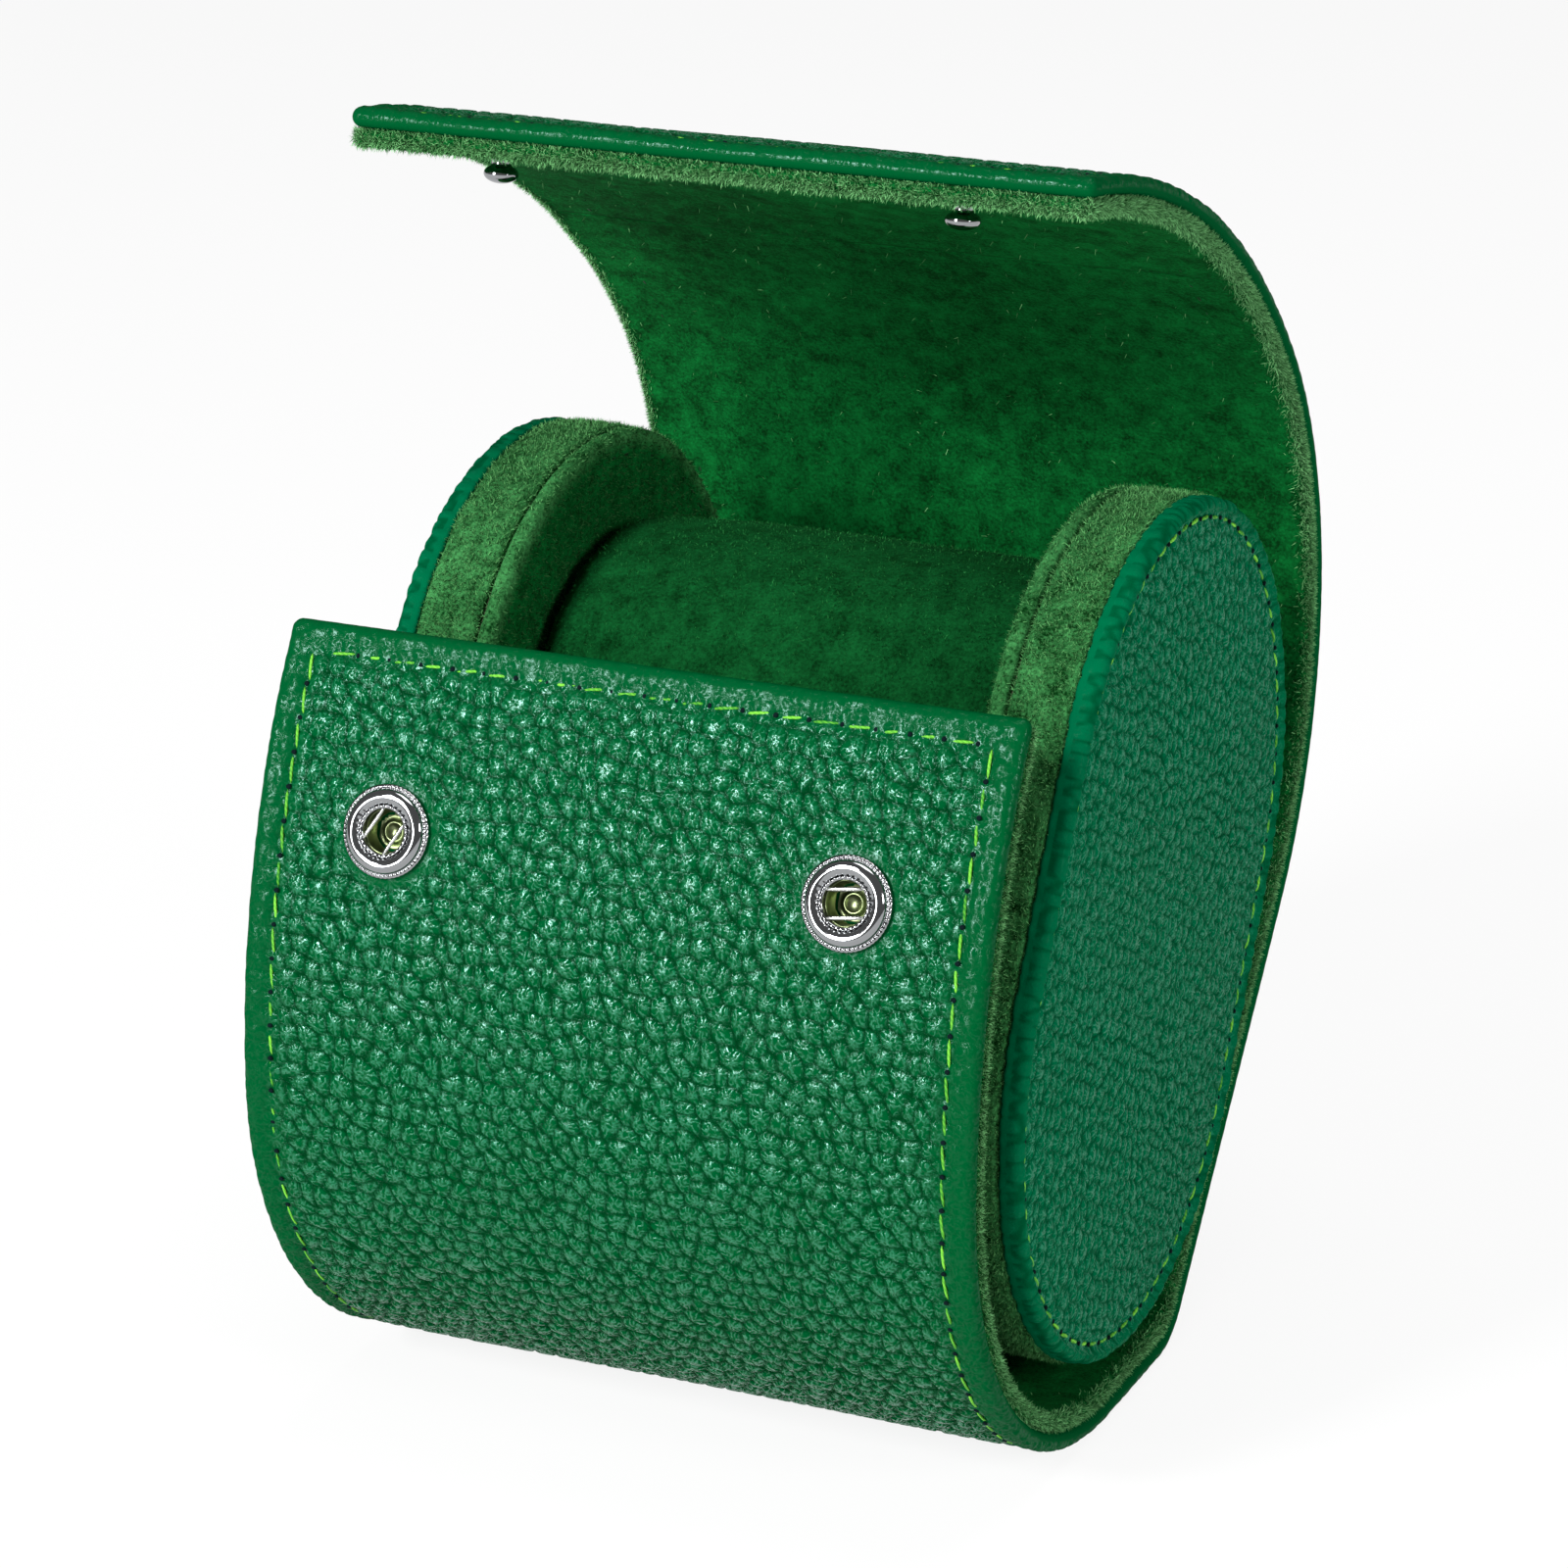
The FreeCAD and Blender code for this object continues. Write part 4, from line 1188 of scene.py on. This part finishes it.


# %% [markdown]
# ## Leather finish
# The hide is dyed through and finished with a thin gloss. Under a loupe every pebble carries fine
# wrinkles that fan out from its crown, and only these catch the light; the creases between pebbles are
# matt. So a glossy shader shows on the wrinkles and a matt one everywhere else. The colour carries
# painted light too: the wrinkles are painted paler, a painted highlight, and the creases darker, painted
# shade.

# %% Leather materials
GLOSS_TINT = (0.6, 1.0, 0.92, 1.0)
MARGIN_GLOSS = 0.008


def leather_material(name, crown, crease_shade, pale_and_highlight, rough, gloss, wrinkle):
    """Pebbled leather: glossy wrinkles on a matt dye, with a painted highlight on the wrinkles and painted
    shade in the creases kept in the mesh.
    """
    made, shader, start = material(name, {"Specular IOR Level": gloss, "Roughness": rough,
                                          "Specular Tint": GLOSS_TINT})
    place = object_place(start)
    crease, wrinkled = kept_value(start, "crease"), kept_value(start, "wrinkle")
    way_u, way_v = kept_value(start, "way_u"), kept_value(start, "way_v")
    cloud = noise(start, place, 70.0)
    fine = noise(start, place, 1900.0, 4.0, 0.65)
    swirl = noise(start, place, 1300.0, 2.0)
    flank = start.maths("POWER", way_u * way_u + way_v * way_v, 0.5).between(0.16, 0.42)
    turn = start.maths("ARCTAN2", way_v, way_u)
    fan = start.node("ShaderNodeMath", {"operation": "SINE"}, i0=turn * 9.0 + swirl * 17.0)
    worm = (1 - start.maths("ABSOLUTE", swirl - 0.5, 0.0) * 9).clamped()
    lines = (fan.between(-0.2, 1.0) * flank + worm * (1 - flank)) * wrinkled
    # Painted highlight: the wrinkle lines push the colour towards its pale end; the two noises are the
    # dye's own uneven tone.
    tone = lines * 0.8 + (cloud - 0.5) * 0.4 + (fine - 0.5) * 0.6 - 0.2
    deep = crease.between(0.45, 1.0)
    # Painted shade: in the creases the colour turns to the crease colour.
    dye_and_painted_light = deep.mix(tone.clamped().mix(crown, pale_and_highlight), crease_shade)
    relief = bump(start, lines + fine * 0.8, 1.0, wrinkle)
    plug(dye_and_painted_light, shader, "Base Color")
    plug(relief, shader, "Normal")
    plug(((fine - 0.5) * 0.25 + rough).clamped(), shader, "Roughness")
    matt = start.node("ShaderNodeBsdfPrincipled", Specular_IOR_Level=0.0, Base_Color=dye_and_painted_light, Normal=relief)
    shine = (lines + (1 - wrinkled) * MARGIN_GLOSS) * (1 - deep)
    join_shaders(made, (1 - shine).clamped(), shader, matt)
    return made


# Each leather's second colour is painted shade for its creases, and its third is the dye's paler tone and
# the painted highlight on its wrinkles.
strip_leather = leather_material("pebbled_leather", colour(0, 70, 33), colour(0, 46, 18),
                                 colour(6, 110, 70), 0.21, 0.85, 0.000035)
disc_leather = leather_material("fine_leather", colour(0, 90, 56), colour(0, 70, 40),
                                colour(24, 128, 94), 0.32, 0.08, 0.00006)
print("leather: a network of", len(strip_leather.node_tree.nodes), "nodes")

# %% [markdown]
# ## Suede finish
# Suede has no gloss, but its fibres light up where the surface turns away from the eye, which is what a
# sheen layer does. The nap lies in brushed patches, so the tone wanders at three scales.

# %% Suede materials
PALE_DARK, PALE_LIGHT = colour(0, 44, 8), colour(66, 140, 78)


def suede_material(name, dark, light, weight, sheen, tuft, blotch):
    """Brushed suede: wandering tone, fine fibre bump and a sheen; a rim kept in the mesh is painted paler,
    a painted sheen.
    """
    made, shader, start = material(name, {"Roughness": 0.95, "Specular IOR Level": 0.05,
                                          "Sheen Weight": weight, "Sheen Roughness": 0.35,
                                          "Sheen Tint": sheen})
    place = object_place(start)
    patch = noise(start, place, 60.0, 3.0, 0.6)
    brush = noise(start, place, 420.0, 3.0, 0.6)
    fibre = noise(start, place, 2600.0, 4.0, 0.7)
    tone = (patch - 0.5) * blotch + (brush - 0.5) * tuft + (fibre - 0.5) * tuft * 1.4 + 0.42
    tone = tone.clamped()
    # Painted sheen: where the mesh keeps a rim, the colour turns to the paler band colours.
    dye_and_painted_light = kept_value(start, "rim").mix(tone.mix(dark, light), tone.mix(PALE_DARK, PALE_LIGHT))
    plug(dye_and_painted_light, shader, "Base Color")
    plug(bump(start, fibre * 0.8 + brush * 0.6, 0.8, 0.00025), shader, "Normal")
    return made


lining_suede = suede_material("lining_suede", colour(0, 46, 12), colour(6, 106, 44), 0.1,
                              colour(20, 150, 60), 1.5, 1.0)
disc_suede = suede_material("disc_suede", PALE_DARK, PALE_LIGHT, 0.3, colour(100, 190, 110), 1.6, 0.7)
pillow_suede = suede_material("pillow_suede", colour(0, 40, 10), colour(13, 92, 42), 0.1,
                              colour(30, 150, 70), 1.3, 0.75)


def fibre_material(name, dark, light):
    """Loose fibres, each with its own tone, painted darker at the root as painted shade."""
    made, shader, start = material(name, {"Roughness": 0.9, "Specular IOR Level": 0.05,
                                          "Sheen Weight": 0.3, "Sheen Tint": light})
    plug(kept_value(start, "tone").mix(dark, light), shader, "Base Color")
    return made


lining_fibre = fibre_material("lining_fibre", colour(0, 62, 18), colour(150, 228, 150))
pillow_fibre = fibre_material("pillow_fibre", colour(0, 46, 10), colour(50, 140, 72))
disc_fibre = fibre_material("disc_fibre", colour(0, 56, 16), colour(122, 200, 122))
print("suede: a network of", len(lining_suede.node_tree.nodes), "nodes")

# %% [markdown]
# ## Thread, metal and board
# The thread is twisted, so a slant stripe runs along it, and each stitch has its own tone. The caps are
# chromed and the eyelets are dark brass, both with faint handling marks. Boards and foam are hidden, and
# show only where a layer is lifted off.

# %% Thread, metal and board materials


def thread_material(name, dark, light):
    """Twisted thread: a fine slant stripe and a tone for each stitch."""
    made, shader, start = material(name, {"Roughness": 0.6, "Specular IOR Level": 0.15,
                                          "Sheen Weight": 0.15, "Sheen Tint": light})
    twist = start.node("ShaderNodeTexWave", {"bands_direction": "DIAGONAL"}, 1, Vector=object_place(start),
                       Scale=900.0, Distortion=1.5)
    tone = (kept_value(start, "tone") * 0.65 + twist * 0.35).clamped()
    plug(tone.mix(dark, light), shader, "Base Color")
    plug(bump(start, twist, 0.5, 0.00008), shader, "Normal")
    return made


def metal_material(name, tint, rough, wear):
    """Plated metal with faint handling marks."""
    made, shader, start = material(name, {"Metallic": 1.0})
    smear = noise(start, object_place(start), 900.0, 4.0) - 0.5
    dull = tuple(0.86 * c for c in tint[:3]) + (1.0,)
    plug((smear * wear + 0.5).clamped().mix(dull, tint), shader, "Base Color")
    plug((smear * wear * 0.4 + rough).clamped(), shader, "Roughness")
    return made


def board_material(name, dark, light):
    """Grey board: pressed fibres."""
    made, shader, start = material(name, {"Roughness": 0.9, "Specular IOR Level": 0.1})
    plug(noise(start, object_place(start), 700.0, 5.0).mix(dark, light), shader, "Base Color")
    return made


green_thread = thread_material("green_thread", colour(28, 112, 30), colour(118, 200, 60))
dark_thread = thread_material("dark_thread", colour(2, 30, 10), colour(10, 56, 22))
# Painted shade: the needle holes get a near-black colour for the shade inside them.
hole_shade = board_material("needle_hole", colour(0, 12, 16), colour(2, 22, 24))
# Painted reflection: the chrome is far darker than real plating, standing in for dark surroundings mirrored
# in the caps.
chrome = metal_material("snap_chrome", (0.34, 0.35, 0.36, 1.0), 0.06, 0.35)
steel = metal_material("spring_steel", (0.55, 0.56, 0.54, 1.0), 0.2, 0.4)
brass = metal_material("eyelet_brass", (0.20, 0.24, 0.12, 1.0), 0.32, 0.5)
card = board_material("grey_board", colour(120, 112, 96), colour(160, 150, 130))
foam = board_material("foam", colour(206, 200, 176), colour(232, 226, 204))
print("materials:", len(bpy.data.materials))

# %% [markdown]
# ## Dressing the pieces
# Each piece gets one material. The solids that stay in view, which are boards, rivets and foam, get
# theirs by a word in their names.

# %% Give every piece its material


def dress(piece, finish):
    """One material on a piece."""
    piece.data.materials.clear()
    piece.data.materials.append(finish)


for span in SPANS:
    dress(leathers[span], strip_leather)
    dress(linings[span], lining_suede)
for piece, _ in seams + disc_seams:
    inside = "lining" in piece.name or "inner" in piece.name
    finish = hole_shade if "holes" in piece.name else dark_thread if inside else green_thread
    dress(piece, finish)
for piece, _ in naps:
    dress(piece, lining_fibre)
for piece, _ in disc_naps:
    cushion = "pillow" in piece.name
    dress(piece, pillow_fibre if cushion else disc_fibre)
for face, band, inner in discs.values():
    dress(face, disc_leather)
    dress(band, disc_suede)
    dress(inner, lining_suede)
for piece, finish, slot in (
        (pillow, pillow_suede, "pillow_suede"), (snap_caps, chrome, "snap_chrome"),
        (snap_studs, chrome, "snap_chrome"), (spring_wires, steel, "spring_steel"),
        (snap_eyelets, brass, "snap_brass")):
    dress(piece, finish)
for node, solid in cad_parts.items():
    for word, finish in {"board": card, "rivets": brass, "foam": foam}.items():
        if word in node:
            dress(solid, finish)
print("strip leather on:", [leathers[span].name for span in SPANS])

# %% [markdown]
# ## Stage
# The roll stands on a white table. To the camera and to mirrors most of the table is its own white, and
# the rest still takes the object's shadow.

# %% Stage
TABLE, TABLE_GLOW = 3.0, 0.88


def floor_material():
    """A white table that looks white to the camera and still takes the object's shadow."""
    made, shader, start = material("white_table", {"Roughness": 0.9, "Specular IOR Level": 0.2,
                                                   "Base Color": (0.92, 0.92, 0.92, 1.0)})
    camera_ray, glossy_ray, clear_ray = (start.node("ShaderNodeLightPath", None, f"Is {kind} Ray")
                                         for kind in ("Camera", "Glossy", "Transmission"))
    seen = (camera_ray + glossy_ray + clear_ray).clamped()
    join_shaders(made, seen * TABLE_GLOW, shader, start.node("ShaderNodeEmission"))
    return made


corners = [(x * TABLE, y * TABLE, 0) for x, y in ((-1, -1), (1, -1), (1, 1), (-1, 1))]
table_mesh = bpy.data.meshes.new("table")
table_mesh.from_pydata(corners, [], [(0, 1, 2, 3)])
table_mesh.materials.append(floor_material())
add_object("table", table_mesh)
print(f"table: {2 * TABLE} m wide")

# %% [markdown]
# ## Light
# Two lamps stand where the panel mirrors them to the camera, so that the wrinkles of the leather glint.
# The other two, and a weak white world, only fill the shadows.

# %% Lamps
LAMP_AIM = (0, 0, 0.06)
WORLD_LIGHT = 0.18


def point_at(holder, place, target):
    """Stand an object at a place with its -Z towards a target and its Y up."""
    back = np.array(place) - np.array(target)
    back = back / np.linalg.norm(back)
    right = np.cross([0, 0, 1.0], back)
    right /= np.linalg.norm(right)
    up = np.cross(back, right)
    holder.location = place
    holder.rotation_euler = Matrix(np.stack([right, up, back], 1).tolist()).to_euler()


def add_lamp(name, place, size, power):
    """A square soft lamp pointing at the roll, in metres and watts."""
    lamp = bpy.data.lights.new(name, "AREA")
    lamp.shape, lamp.size, lamp.energy = "SQUARE", size, power
    point_at(add_object(name, lamp), place, LAMP_AIM)


world = bpy.data.worlds.new("studio")
bpy.context.scene.world = world
world.use_nodes = True
world.node_tree.nodes["Background"].inputs["Color"].default_value = (1, 1, 1, 1)
world.node_tree.nodes["Background"].inputs["Strength"].default_value = WORLD_LIGHT
add_lamp("key", (-0.36, -0.80, 0.56), 0.22, 11.0)
add_lamp("front", (-0.40, -0.95, 0.26), 0.20, 4.0)
add_lamp("fill", (0.90, -0.30, 0.45), 0.25, 5.0)
add_lamp("top", (0.1, 0.1, 1.0), 0.5, 4.0)
print("lamps:", sum(lamp.energy for lamp in bpy.data.lights), "W in all")

# %% [markdown]
# ## Camera
# The camera stands to the right of the front and a little above, far enough away for a gentle
# perspective. A lens can be given in pixels of the picture, and the sensor's width turns that into the
# millimetres that Blender wants.

# %% Camera
AZIMUTH, ELEVATION, DISTANCE = math.radians(24.0), math.radians(19.38), 0.554
AIM = np.array([0.0076, -0.01905, 0.0728])
SENSOR, FOCAL_PIXELS, FRAME_PIXELS = 36.0, 5323, 1600
camera = bpy.data.cameras.new("camera")
camera.sensor_width = SENSOR
camera.lens = SENSOR * FOCAL_PIXELS / FRAME_PIXELS
viewer = add_object("camera", camera)
level = math.cos(ELEVATION)
outward = np.array([math.sin(AZIMUTH) * level, -math.cos(AZIMUTH) * level, math.sin(ELEVATION)])
point_at(viewer, (AIM + DISTANCE * outward).tolist(), AIM.tolist())
bpy.context.scene.camera = viewer
bpy.context.scene.view_settings.view_transform = "Standard"
print(f"camera: {camera.lens:.1f} mm lens, {DISTANCE} m away")

# %% [markdown]
# ## Update
# The scene is brought up to date.

# %% Update the scene
bpy.context.view_layer.update()
